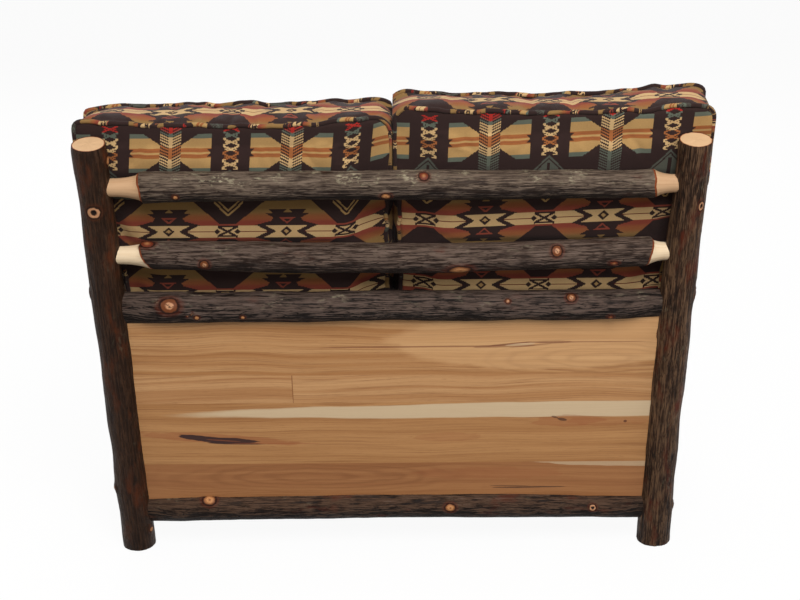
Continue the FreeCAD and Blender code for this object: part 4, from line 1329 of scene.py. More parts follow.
class LogFrame:
    """The fourteen bark-on logs: four posts, the back, front and side rails and the arms."""

    CUT, HOLLOW, STUB, HEART = KnotStyle
    LEFT_POST_KNOTS = (Knot(0.871, 0, 0.025, HOLLOW, 1.0), Knot(0.674, -88, 0.013, STUB),
                       Knot(0.185, -68, 0.011), Knot(0.07, 62, 0.012), Knot(0.968, 82, 0.017))
    RIGHT_POST_KNOTS = (Knot(0.873, 34, 0.013, HOLLOW, 1.6), Knot(0.662, 86, 0.014, STUB),
                        Knot(0.57, -82, 0.012, STUB), Knot(0.12, 88, 0.012, STUB))
    TOP_KNOTS = (Knot(0.073, 100, 0.009), Knot(0.477, 104, 0.012, CUT, 1.6), Knot(0.55, 28, 0.016, STUB))
    MIDDLE_KNOTS = (Knot(0.117, 92, 0.016, HEART), Knot(0.622, 116, 0.020, CUT, 2.2),
                    Knot(0.813, 46, 0.022, HEART, 0.9), Knot(0.926, 104, 0.010, STUB, 1.8),
                    Knot(0.004, 12, 0.017, STUB, 1.6))
    LOWER_KNOTS = (Knot(0.094, 52, 0.026, HEART, 1.4), Knot(0.706, 44, 0.009, HEART),
                   Knot(0.821, 32, 0.017, HEART, 1.1), Knot(0.893, 110, 0.011, STUB),
                   Knot(0.143, 96, 0.009), Knot(0.226, 98, 0.008))
    BOTTOM_KNOTS = (Knot(0.132, 30, 0.021, CUT, 1.3), Knot(0.607, 70, 0.016, CUT, 1.4),
                    Knot(0.888, 68, 0.013, HOLLOW))
    PLAIN_KNOTS = (Knot(0.31, 70, 0.015), Knot(0.74, 118, 0.013, STUB))
    HEWN = 0.62  # how much of their outer faces coped rails lose at their ends
    BURIED = (LogEnd.BURIED, LogEnd.BURIED)

    def __init__(self, up: Vector, finishes: dict[str, Material]) -> None:
        """Keeps the back's leaning direction, the feet and the bark finishes.

        Args:
            up: The way that the back leans.
            finishes: Barks, by a word in the log's name.
        """
        self.up = up
        self.back = rearward(up)
        self.finishes = finishes
        self.feet = feet()

    def build(self) -> None:
        """Models every log and gives it its bark."""
        for log in self.posts() + self.back_rails() + self.front_rails() + self.side_rails():
            dress_piece(log.build(), self.finish_of(log.node))

    def finish_of(self, node: str) -> Material:
        """The bark that a log has.

        Args:
            node: The log's node.

        Returns:
            The material.
        """
        for name, material in self.finishes.items():
            if name in node:
                return material
        return self.finishes["rail"]

    def posts(self) -> list[Log]:
        """The two leaning back posts and the two front posts.

        Returns:
            The logs.
        """
        ends = (LogEnd.LEVEL, LogEnd.SAWN)
        left, right = self.feet["foot_back_left"], self.feet["foot_back_right"]
        made = [Log("back_post_left", left, self.up, self.back, ends, self.LEFT_POST_KNOTS, 11, relief=0.0014,
                    ridge_length=0.055, top_flare=0.0022),
                Log("back_post_right", right, self.up, self.back, ends, self.RIGHT_POST_KNOTS, 12, cells=34,
                    ridge_length=0.22, relief=0.0024, bow=-0.005)]
        for index, (side, sign) in enumerate((("left", 1), ("right", -1))):
            knots = self.mirrored(sign)
            made.append(Log(f"front_post_{side}", self.feet[f"foot_front_{side}"], Z, X * sign, ends, knots,
                            13 + index))
        return made

    def mirrored(self, sign: int) -> tuple[Knot, ...]:
        """The plain logs' knots, turned over for the right-hand side."""
        return tuple(replace(knot, angle=knot.angle * sign) for knot in self.PLAIN_KNOTS)

    def middle(self, node: str) -> Vector:
        """The middle of a node's box."""
        low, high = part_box(node)
        return (low + high) / 2

    def back_rails(self) -> list[Log]:
        """The two rails that show their tenons and the two that are coped to the posts.

        Returns:
            The logs.
        """
        showing = (LogEnd.TENON, LogEnd.TENON)
        top_edges = (BarkShoulder(0.002, 180), BarkShoulder(0.005, 0))
        middle_edges = (BarkShoulder(0.014, 195), BarkShoulder(0.008, 180))
        rails = (("back_rail_top", showing, self.TOP_KNOTS, 21, top_edges),
                 ("back_rail_middle", showing, self.MIDDLE_KNOTS, 22, middle_edges),
                 ("back_rail_lower", self.BURIED, self.LOWER_KNOTS, 23, top_edges),
                 ("back_rail_bottom", self.BURIED, self.BOTTOM_KNOTS, 24, top_edges))
        made = []
        for node, ends, knots, seed, edges in rails:
            start = self.middle(node)
            start.x = 0.0
            smooth = {"relief": 0.0014, "thicken": 0.0014} if node == "back_rail_bottom" else {}
            hewn = self.HEWN if ends is self.BURIED else 0.0
            made.append(Log(node, start, -X, self.up, ends, knots, seed, shoulders=edges, hewn=hewn,
                            **smooth))
        return made

    def front_rails(self) -> list[Log]:
        """The front rail under the seat and the rail near the floor.

        Returns:
            The logs.
        """
        made = []
        for seed, node in enumerate(("front_rail_upper", "front_rail_bottom"), 31):
            start = self.middle(node)
            start.x = 0.0
            made.append(Log(node, start, X, Z, self.BURIED, self.PLAIN_KNOTS, seed, hewn=self.HEWN))
        return made

    def side_rails(self) -> list[Log]:
        """Each side's arm log and bottom rail.

        Returns:
            The logs.
        """
        made = []
        seed = 41
        for side, sign in (("left", 1), ("right", -1)):
            for node in (f"arm_log_{side}", f"side_rail_bottom_{side}"):
                made.append(Log(node, self.middle(node), Y, Z, self.BURIED, self.mirrored(sign), seed))
                seed += 1
        return made


class CushionKind(Enum):
    """Which of the loose cushions it is."""

    BACK = "back_cushion"
    SEAT = "seat_cushion"


@dataclass
class Cushion:
    """A boxed cushion: two panels, a boxing between them and a corded welt along each seam."""

    kind: CushionKind
    side: str
    origin: Vector
    wide: Vector  # across the seat
    high: Vector  # up or back along a panel
    deep: Vector  # through the cushion's thickness
    crowns: Pair  # height of each panel's crown, on the low and the high side
    figure_at: Pair  # where a feather figure's middle lies on a panel
    rails: tuple[str, ...] = ()  # logs that it leans on
    voxel: float = 0.0066
    smoothing: int = 3
    shrink: float = 0.001
    pressure: float = 4.0
    swell_cap: float = 0.016
    frames: int = 20
    welt_radius: float = 0.0045
    seam_dip: float = 0.0030
    seam_reach: float = 0.013
    pucker: float = 0.0036
    pucker_reach: float = 0.030
    rail_gap: float = 0.0015
    front_lift: tuple[float, ...] = (0.0,) * 5  # lift of the top front edge, from -X to +X
    rear_lift: tuple[float, ...] = (0.0,) * 5  # lift of the top rear edge
    stretch: float = 1.0  # widens the cushion before it is kept to its box
    meeting: float = 0.0  # how far the side that meets its neighbour swells out
    welt_out: float = 0.0025  # the welt's middle stands this far out of the seam
    welt_clear: float = 0.0004  # room between a welt and the loveseat's middle
    welt_wave: float = 0.0025  # how far it wanders from its seam
    valley: Pair = (0.0, 0.0)  # how far the rear edge draws back there, at the top and below
    waist: float = 0.0  # how far it swells out between the arms
    trim: float = 0.0  # how far short of its box the outer side stops
    skew: float = 0.0  # the cloth's slant, across for each unit up
    tilt: float = 0.0  # the cloth's slant, up for each unit across
    bend: float = 0.0  # how far the cloth's bands climb towards the neighbour
    bend_reach: float = 0.10
    tilt_span: Pair = (0.62, 0.80)  # height over which the tilt sets in
    lift_span: Pair = (0.09, 0.01)  # below the top: where the lifts set in and are full
    valley_span: Pair = (0.09, 0.19)  # below the top: between the valley's two depths
    waist_span: Pair = (0.26, 0.31)  # below the top: where the waist sets in
    dents: float = 0.004  # depth of soft dents all over
    ripple: float = 0.016  # how far the boxing's bands wander
    past_middle: float = 0.0011  # how far it may press past its box towards its neighbour
    proud: float = 0.006  # how far it may stand out of its box on top and behind
    sunk: float = 0.002  # how far it may stand out in front or below
    bias: float = 1.7  # the welts' cloth is cut at a slant and drawn together by this

    LIFT_STATIONS = (0.0, 0.14, 0.5, 0.86, 1.0)
    COVER_CLOTH = {"quality": 4, "mass": 0.25, "tension_stiffness": 12.0, "compression_stiffness": 8.0,
                   "shear_stiffness": 4.0, "bending_stiffness": 0.2, "shrink_min": -0.035,
                   "use_pressure": True, "pin_stiffness": 1.0}
    DOUBLES = 0.00002  # corners of loose triangles this near are one
    LOOP_STEP = 0.005  # a seam's places lie this far apart
    LOOP_SMOOTHING = 6

    def __post_init__(self) -> None:
        """Works out its names and the directions that its places are counted in."""
        self.name = self.body = f"{self.kind.value}_{self.side}"
        self.cover, self.core = (f"{self.kind.value}_{part}_{self.side}" for part in ("cover", "core"))
        self.axes = np.array([self.wide, self.high, self.deep])
        self.base = np.array(self.origin)

    def build(self, cloth: Material) -> None:
        """Models the cushion and its welts and dresses them in a cloth.

        Args:
            cloth: The cloth's material.
        """
        piece = self.outer_shell()
        self.measure(piece)
        self.remesh(piece)
        self.inflate(piece)
        self.settle(piece)
        take_up(piece)
        divide = piece.modifiers.new("fine", "SUBSURF")
        divide.levels = divide.render_levels = 1
        bpy.ops.object.modifier_apply(modifier=divide.name)
        bpy.ops.object.shade_smooth()
        loops = [self.seam_loop(piece, level) for level in self.seams]
        self.map_cloth(piece, loops[1])
        welts = self.make_welts(loops)
        for part in (piece, welts):
            dress_piece(part, cloth)
            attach(part, self.body)
        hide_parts(self.cover, self.core)
        LOG.info("cushion %s: %d faces, welts %d faces", self.name, len(piece.data.polygons),
                 len(welts.data.polygons))

    def local(self, points: Array) -> Array:
        """Points as places across, up and through the cushion."""
        return (points - self.base) @ self.axes.T

    def world(self, places: Array) -> Array:
        """Places across, up and through the cushion as points."""
        return places @ self.axes + self.base

    def outer_shell(self) -> Object:
        """A copy of the cover's outer skin, with its loose triangles joined.

        Returns:
            The copy.
        """
        source = frame["nodes"][self.cover]
        piece = bpy.data.objects.new(self.name, source.data.copy())
        bpy.context.scene.collection.objects.link(piece)
        edit(piece, "VERT", "SELECT")
        bpy.ops.mesh.remove_doubles(threshold=self.DOUBLES)
        bpy.ops.mesh.separate(type="LOOSE")
        bpy.ops.object.mode_set(mode="OBJECT")
        shells = sorted(bpy.context.selected_objects, key=lambda shell: shell.dimensions.length)
        piece = shells[-1]
        for shell in shells[:-1]:
            bpy.data.objects.remove(shell)
        piece.name = self.name
        return piece

    def measure(self, piece: Object) -> None:
        """Reads the cushion's box and the levels of its two seams.

        Args:
            piece: The copied skin.
        """
        places = self.local(coordinates(piece.data))
        self.low, self.top = places.min(0), places.max(0)
        self.seams = (self.low[2] + self.crowns[0], self.top[2] - self.crowns[1])

    def remesh(self, piece: Object) -> None:
        """Turns the skin into an even mesh, softens it and draws it in a little.

        Args:
            piece: The copied skin.
        """
        take_up(piece)
        grid = piece.modifiers.new("even", "REMESH")
        grid.mode = "VOXEL"
        grid.voxel_size = self.voxel
        bpy.ops.object.modifier_apply(modifier=grid.name)
        edit(piece, "VERT", "SELECT")
        bpy.ops.mesh.vertices_smooth(factor=0.5, repeat=self.smoothing)
        bpy.ops.transform.shrink_fatten(value=-self.shrink)
        bpy.ops.object.mode_set(mode="OBJECT")

    def seam_distance(self, places: Array) -> Array:
        """How far each place is from the nearer seam, through the thickness."""
        return np.minimum(*[np.abs(places[:, 2] - level) for level in self.seams])

    def inflate(self, piece: Object) -> None:
        """Blows the cover up like a filled cushion, held along its seams.

        Args:
            piece: The even skin.
        """
        before = coordinates(piece.data)
        places = self.local(before)
        boxing = (places[:, 2] > self.seams[0]) & (places[:, 2] < self.seams[1])
        held = piece.vertex_groups.new(name="held")
        for index in np.nonzero(self.seam_distance(places) < self.voxel * 0.75)[0]:
            held.add([int(index)], 1.0, "REPLACE")
        take_up(piece)
        cloth = piece.modifiers.new("cloth", "CLOTH")
        for key, value in self.COVER_CLOTH.items():
            setattr(cloth.settings, key, value)
        cloth.settings.uniform_pressure_force = self.pressure
        cloth.settings.effector_weights.gravity = 0.0
        cloth.settings.vertex_group_mass = held.name
        cloth.collision_settings.use_collision = False
        cloth.collision_settings.use_self_collision = False
        cloth.point_cache.frame_start = 1
        cloth.point_cache.frame_end = self.frames
        scene = bpy.context.scene
        for number in range(1, self.frames + 1):
            scene.frame_set(number)
        bpy.ops.object.modifier_apply(modifier=cloth.name)
        piece.vertex_groups.clear()
        move = coordinates(piece.data) - before
        size = np.linalg.norm(move, axis=1)
        cap = np.where(boxing, self.swell_cap * 0.6, self.swell_cap)
        share = np.where(size > 1e-9, np.tanh(size / cap) * cap / np.maximum(size, 1e-9), 0.0)
        set_coordinates(piece.data, before + move * share[:, None])
        scene.frame_set(1)
        LOG.info("cushion %s swelled by up to %.1f mm", self.name, float((size * share).max()) / MM)

    def settle(self, piece: Object) -> None:
        """Sinks the seams, puckers the cloth beside them and presses the cushion off its rails.

        Args:
            piece: The swelled skin.
        """
        points = coordinates(piece.data)
        normals = read_rows(piece.data.vertices, "normal")
        places = self.local(points)
        gap = self.seam_distance(places)
        panel = np.maximum(places[:, 2] - self.seams[1], self.seams[0] - places[:, 2])
        edge = np.abs(normals @ np.array(self.deep)) < 0.8
        dip = np.where(edge, np.exp(-(gap / self.seam_reach) ** 2), 0.0) * self.seam_dip
        rim = self.rim_distance(places)
        from_middle = places - self.middle()
        turns = np.arctan2(from_middle[:, 1], from_middle[:, 0]) / TURN
        fold = lattice_noise(turns, places[:, 2], 130, 0.030, 7) - 0.5
        fold += 0.6 * (lattice_noise(turns, places[:, 2], 61, 0.060, 8) - 0.5)
        reach = np.where(panel > 0, np.exp(-rim / self.pucker_reach), np.exp(-gap / self.pucker_reach))
        wave = fold * reach * 2 * self.pucker * np.where(panel > 0, 1.0, 1.7)
        soft = lattice_noise(places[:, 0] * 3.1, places[:, 1], 9, 0.12, 9) - 0.5
        points = points + normals * (wave - dip + soft * self.dents)[:, None]
        places = self.drawn(self.local(points))
        set_coordinates(piece.data, self.world(self.boxed(self.off_rails(places))))

    def drawn(self, places: Array) -> Array:
        """Places drawn out to how the stuffed cushion sits, pressed to its neighbour.

        Args:
            places: Where the points are.

        Returns:
            Where they move to.
        """
        moved = places.copy()
        middle = self.middle()
        moved[:, 0] = middle[0] + (places[:, 0] - middle[0]) * self.stretch
        gap = self.neighbour_gap(places)
        below = self.top[1] - places[:, 1]
        depth = (places[:, 2] - self.seams[0]) / (self.seams[1] - self.seams[0])
        belly = np.sin(math.pi * np.clip(depth, 0.0, 1.0)) * eased(gap, 0.05, 0.0) * self.meeting
        lower = eased(below, *self.valley_span)
        drawn_back = self.valley[0] + (self.valley[1] - self.valley[0]) * lower
        retreat = drawn_back * eased(gap, 0.06, 0.0) * eased(depth, 0.5, 0.95)
        waist = self.waist * eased(below, *self.waist_span) * eased(gap, 0.40, 0.48)
        moved[:, 0] += self.hand() * (retreat - belly + waist)
        across = (places[:, 0] - self.low[0]) / (self.top[0] - self.low[0])
        at_rear = eased(depth, 0.0, 1.0)
        lift = np.interp(across, self.LIFT_STATIONS, self.front_lift) * (1 - at_rear)
        lift += np.interp(across, self.LIFT_STATIONS, self.rear_lift) * at_rear
        moved[:, 1] += lift * eased(below, *self.lift_span)
        return moved

    def neighbour_gap(self, places: Array) -> Array:
        """How far each place is from the side that meets the other cushion."""
        return places[:, 0] - self.low[0] if self.hand() > 0 else self.top[0] - places[:, 0]

    def hand(self) -> float:
        """1 on the sitter's left, which is +X, and -1 on the right."""
        return 1.0 if self.middle()[0] > 0 else -1.0

    def middle(self) -> Array:
        """The middle of the cushion's box."""
        return (self.low + self.top) / 2

    def rim_distance(self, places: Array) -> Array:
        """How far each place lies in from the cushion's box, across and up."""
        gaps = [places[:, 0] - self.low[0], self.top[0] - places[:, 0], places[:, 1] - self.low[1],
                self.top[1] - places[:, 1]]
        return np.maximum(np.minimum.reduce(gaps), 0.0)

    def boxed(self, places: Array) -> Array:
        """Places kept inside the cushion's box, apart from a little standing proud on top.

        Args:
            places: Where the points are.

        Returns:
            Where they move to.
        """
        inner, outer = self.past_middle, -self.trim
        left, right = (inner, outer) if self.hand() > 0 else (outer, inner)
        low = self.low - np.array([left, 0.0, self.sunk])
        return np.clip(places, low, self.top + np.array([right, self.proud, self.proud]))

    def off_rails(self, places: Array) -> Array:
        """Presses the cushion off the logs that it leans on.

        Args:
            places: Where the points are.

        Returns:
            Where they move to.
        """
        pressed = places.copy()
        for node in self.rails:
            low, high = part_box(node)
            axis = self.local(np.array([(low + high) / 2]))[0]
            radius = (high.z - low.z) / 2 + self.rail_gap
            rise = np.abs(pressed[:, 1] - axis[1])
            inside = rise < radius
            limit = axis[2] - np.sqrt(np.maximum(radius ** 2 - rise ** 2, 0.0))
            pressed[:, 2] = np.where(inside, np.minimum(pressed[:, 2], limit), pressed[:, 2])
        return pressed

    def seam_loop(self, piece: Object, level: float) -> Array:
        """The closed line where a seam's plane meets the cushion, as evenly spaced places.

        Args:
            piece: The finished cushion.
            level: The seam's level through the thickness.

        Returns:
            The loop's places, in order.
        """
        copy = bpy.data.objects.new("seam", piece.data.copy())
        bpy.context.scene.collection.objects.link(copy)
        edit(copy, "VERT", "SELECT")
        bpy.ops.mesh.bisect(plane_co=self.origin + self.deep * level, plane_no=self.deep, clear_inner=True,
                            clear_outer=True)
        bpy.ops.object.mode_set(mode="OBJECT")
        loop = self.in_order(copy.data)
        bpy.data.objects.remove(copy)
        places = self.local(loop)
        for _ in range(self.LOOP_SMOOTHING):
            places = (np.roll(places, 1, 0) + 2 * places + np.roll(places, -1, 0)) / 4
        return self.evenly(places)

    def in_order(self, mesh: Mesh) -> Array:
        """The points of a mesh of edges, walked round from one to the next.

        Args:
            mesh: The mesh.

        Returns:
            The points of its longest line, in order.
        """
        beside: dict[int, list[int]] = {}
        for edge in mesh.edges:
            first, last = edge.vertices
            beside.setdefault(first, []).append(last)
            beside.setdefault(last, []).append(first)
        longest: list[int] = []
        unseen = set(beside)
        while unseen:
            walk: list[int] = []
            step: Optional[int] = min(unseen)
            while step is not None:
                walk.append(step)
                unseen.discard(step)
                step = next((near for near in beside[step] if near in unseen), None)
            longest = max(longest, walk, key=len)
        return coordinates(mesh)[longest]

    def evenly(self, places: Array) -> Array:
        """A closed line respaced evenly, starting under the middle of the cushion.

        Args:
            places: The line's places.

        Returns:
            The new places.
        """
        start = int(np.argmin(places[:, 1] + np.abs(places[:, 0] - self.middle()[0])))
        ring = np.roll(places, -start, 0)
        ring = np.vstack([ring, ring[:1]])
        run = np.concatenate([[0.0], np.cumsum(np.linalg.norm(np.diff(ring, axis=0), axis=1))])
        count = int(run[-1] / self.LOOP_STEP)
        stops = np.linspace(0.0, run[-1], count, endpoint=False)
        return np.column_stack([np.interp(stops, run, ring[:, axis]) for axis in range(3)])

    def around(self, loop: Array) -> Array:
        """The length round a loop at each of its places, equal to the place across on the far side.

        Args:
            loop: A seam's loop.

        Returns:
            The length at each place.
        """
        run = np.arange(len(loop)) * float(np.linalg.norm(loop[1] - loop[0]))
        far = int(np.argmax(loop[:, 1] - np.abs(loop[:, 0] - self.middle()[0])))
        way = 1.0 if loop[(far + 1) % len(loop), 0] > loop[far, 0] else -1.0
        return (run - run[far]) * way + loop[far, 0]

    def panel_places(self, places: Array) -> Array:
        """Where the points of a panel lie on the cloth.

        Args:
            places: Where the points are.

        Returns:
            Metres across and up the cloth for each point.
        """
        wide, high = (places[:, :2] - np.array(self.figure_at)).T
        sway = self.tilt * wide * eased(places[:, 1], *self.tilt_span)
        high = high + sway - self.bend * eased(self.neighbour_gap(places), self.bend_reach, 0.0)
        return np.column_stack([wide + self.skew * high, high])

    def boxing_places(self, places: Array, loop: Array) -> Array:
        """Where the points of the boxing lie on the cloth, which runs round with an eye band in its middle.

        Args:
            places: Where the points are.
            loop: A seam's loop, to measure round the boxing.

        Returns:
            Metres across and up the cloth for each point.
        """
        finder = KDTree(len(loop))
        for index, place in enumerate(loop):
            finder.insert((place[0], place[1], 0.0), index)
        finder.balance()
        run = self.around(loop)
        near = np.array([run[finder.find((place[0], place[1], 0.0))[1]] for place in places])
        level = places[:, 2] - sum(self.seams) / 2
        ripple = (lattice_noise(near / 2.4, level, 44, 0.08, 60) - 0.5) * self.ripple
        return np.column_stack([near - self.figure_at[0], level + ClothFinish.eye_offset * MM + ripple])

    def lay_cloth(self, mesh: Mesh, laid: Array) -> None:
        """Stores a place on the cloth for each corner of a mesh's faces, in place of any UV map.

        Args:
            mesh: The mesh.
            laid: Metres across and up the cloth, a row for each corner.
        """
        for layer in list(mesh.uv_layers):
            mesh.uv_layers.remove(layer)
        layer = mesh.uv_layers.new(name="cloth")
        layer.data.foreach_set("uv", laid.astype(np.float32).ravel())

    def map_cloth(self, piece: Object, loop: Array) -> None:
        """Lays the cloth over the panels and the boxing.

        Args:
            piece: The finished cushion.
            loop: A seam's loop.
        """
        mesh = piece.data
        places = self.local(coordinates(mesh))
        corner = read_rows(mesh.loops, "vertex_index", 1)
        sizes = read_rows(mesh.polygons, "loop_total", 1)
        deep = np.repeat(self.local(read_rows(mesh.polygons, "center"))[:, 2], sizes)
        on_boxing = (deep > self.seams[0]) & (deep < self.seams[1])
        boxing = self.boxing_places(places, loop)[corner]
        self.lay_cloth(mesh, np.where(on_boxing[:, None], boxing, self.panel_places(places)[corner]))

    def outward(self, loop: Array) -> Array:
        """The way out of the cushion at each place of a seam's loop, across and up.

        Args:
            loop: The seam's loop.

        Returns:
            Unit directions, a row for each place.
        """
        run = np.roll(loop, -1, 0) - np.roll(loop, 1, 0)
        turned = np.column_stack([run[:, 1], -run[:, 0]])
        turned /= np.maximum(np.linalg.norm(turned, axis=1), 1e-9)[:, None]
        away = ((loop[:, :2] - self.middle()[:2]) * turned).sum(1)
        return turned * np.where(away.mean() < 0, -1.0, 1.0)

    def welt_line(self, number: int, loop: Array) -> Object:
        """One welt as a round curve, a little wavy, on its own side of the loveseat's middle.

        Args:
            number: Which seam it is.
            loop: The seam's loop.

        Returns:
            The curve.
        """
        line = bpy.data.curves.new(f"{self.name}_welt_{number}", "CURVE")
        line.dimensions = "3D"
        line.bevel_depth = self.welt_radius
        line.bevel_resolution = 3
        spline = line.splines.new("POLY")
        spline.points.add(len(loop) - 1)
        round_share = np.arange(len(loop)) / len(loop)
        wave = lattice_noise(round_share, np.zeros(len(loop)), 90, 1.0, 50 + number) - 0.5
        lifted = loop.copy()
        lifted[:, 2] += wave * self.welt_wave
        lifted[:, :2] += self.outward(loop) * self.welt_out
        kept = self.welt_radius + self.welt_clear
        lifted[:, 0] = self.hand() * np.maximum(self.hand() * lifted[:, 0], kept)
        points = np.column_stack([self.world(lifted), np.ones(len(loop))])
        spline.points.foreach_set("co", points.astype(np.float32).ravel())
        spline.use_cyclic_u = True
        tube = bpy.data.objects.new(line.name, line)
        bpy.context.scene.collection.objects.link(tube)
        return tube

    def make_welts(self, loops: list[Array]) -> Object:
        """Corded welts along both seams, as round tubes wrapped in the same cloth.

        Args:
            loops: The two seams' loops.

        Returns:
            The welts, as one piece.
        """
        tubes = [self.welt_line(number, loop) for number, loop in enumerate(loops)]
        deselect_all()
        for tube in tubes:
            tube.select_set(True)
        bpy.context.view_layer.objects.active = tubes[0]
        bpy.ops.object.convert(target="MESH")
        bpy.ops.object.join()
        welts = bpy.context.object
        welts.name = f"{self.name}_welts"
        take_up(welts)
        bpy.ops.object.shade_smooth()
        laid = self.boxing_places(self.local(coordinates(welts.data)), loops[1])
        slanted = laid @ np.array([[self.bias, self.bias], [self.bias, -self.bias]])
        self.lay_cloth(welts.data, slanted[read_rows(welts.data.loops, "vertex_index", 1)])
        return welts


class CushionSet:
    """The four loose cushions."""

    LEFT_FIGURE = (0.4205, 0.941)
    RIGHT_FIGURE = (-0.183, 0.962)
    SEAT_FIGURE_Y = -0.02
    LEFT_LIFT = (-0.004, 0.000, 0.007, -0.006, -0.028)
    RIGHT_LIFT = (0.002, 0.000, -0.005, -0.009, -0.015)
    LEFT_REAR_LIFT = (0.000, 0.001, 0.005, 0.003, 0.002)
    RIGHT_REAR_LIFT = (-0.004, 0.000, 0.005, 0.003, 0.000)
    BACK_CROWNS = (0.024, 0.010)
    SEAT_CROWNS = (0.008, 0.020)
    RAILS = ("back_rail_top", "back_rail_middle", "back_rail_lower")

    def __init__(self, up: Vector, cloth: Material) -> None:
        """Keeps the back's leaning direction and the cloth."""
        self.up = up
        self.cloth = cloth

    def build(self) -> None:
        """Models all four."""
        back_origin = Vector((0, feet()["foot_back_left"].y, 0))
        out = rearward(self.up)
        left = {"front_lift": self.LEFT_LIFT, "rear_lift": self.LEFT_REAR_LIFT, "trim": 0.008, "skew": 0.10,
                "bend": 0.024}
        right = {"front_lift": self.RIGHT_LIFT, "rear_lift": self.RIGHT_REAR_LIFT, "trim": 0.004,
                 "skew": 0.03, "tilt": 0.042, "bend": 0.006}
        for side, figure, lay in (("left", self.LEFT_FIGURE, left), ("right", self.RIGHT_FIGURE, right)):
            Cushion(CushionKind.BACK, side, back_origin, X, self.up, out, self.BACK_CROWNS, figure,
                    self.RAILS, stretch=1.03, meeting=0.012, waist=0.006, valley=(0.005, 0.017),
                    seam_dip=0.0015, **lay).build(self.cloth)
            Cushion(CushionKind.SEAT, side, Vector((0, 0, 0)), X, Y, Z, self.SEAT_CROWNS,
                    (figure[0], self.SEAT_FIGURE_Y)).build(self.cloth)


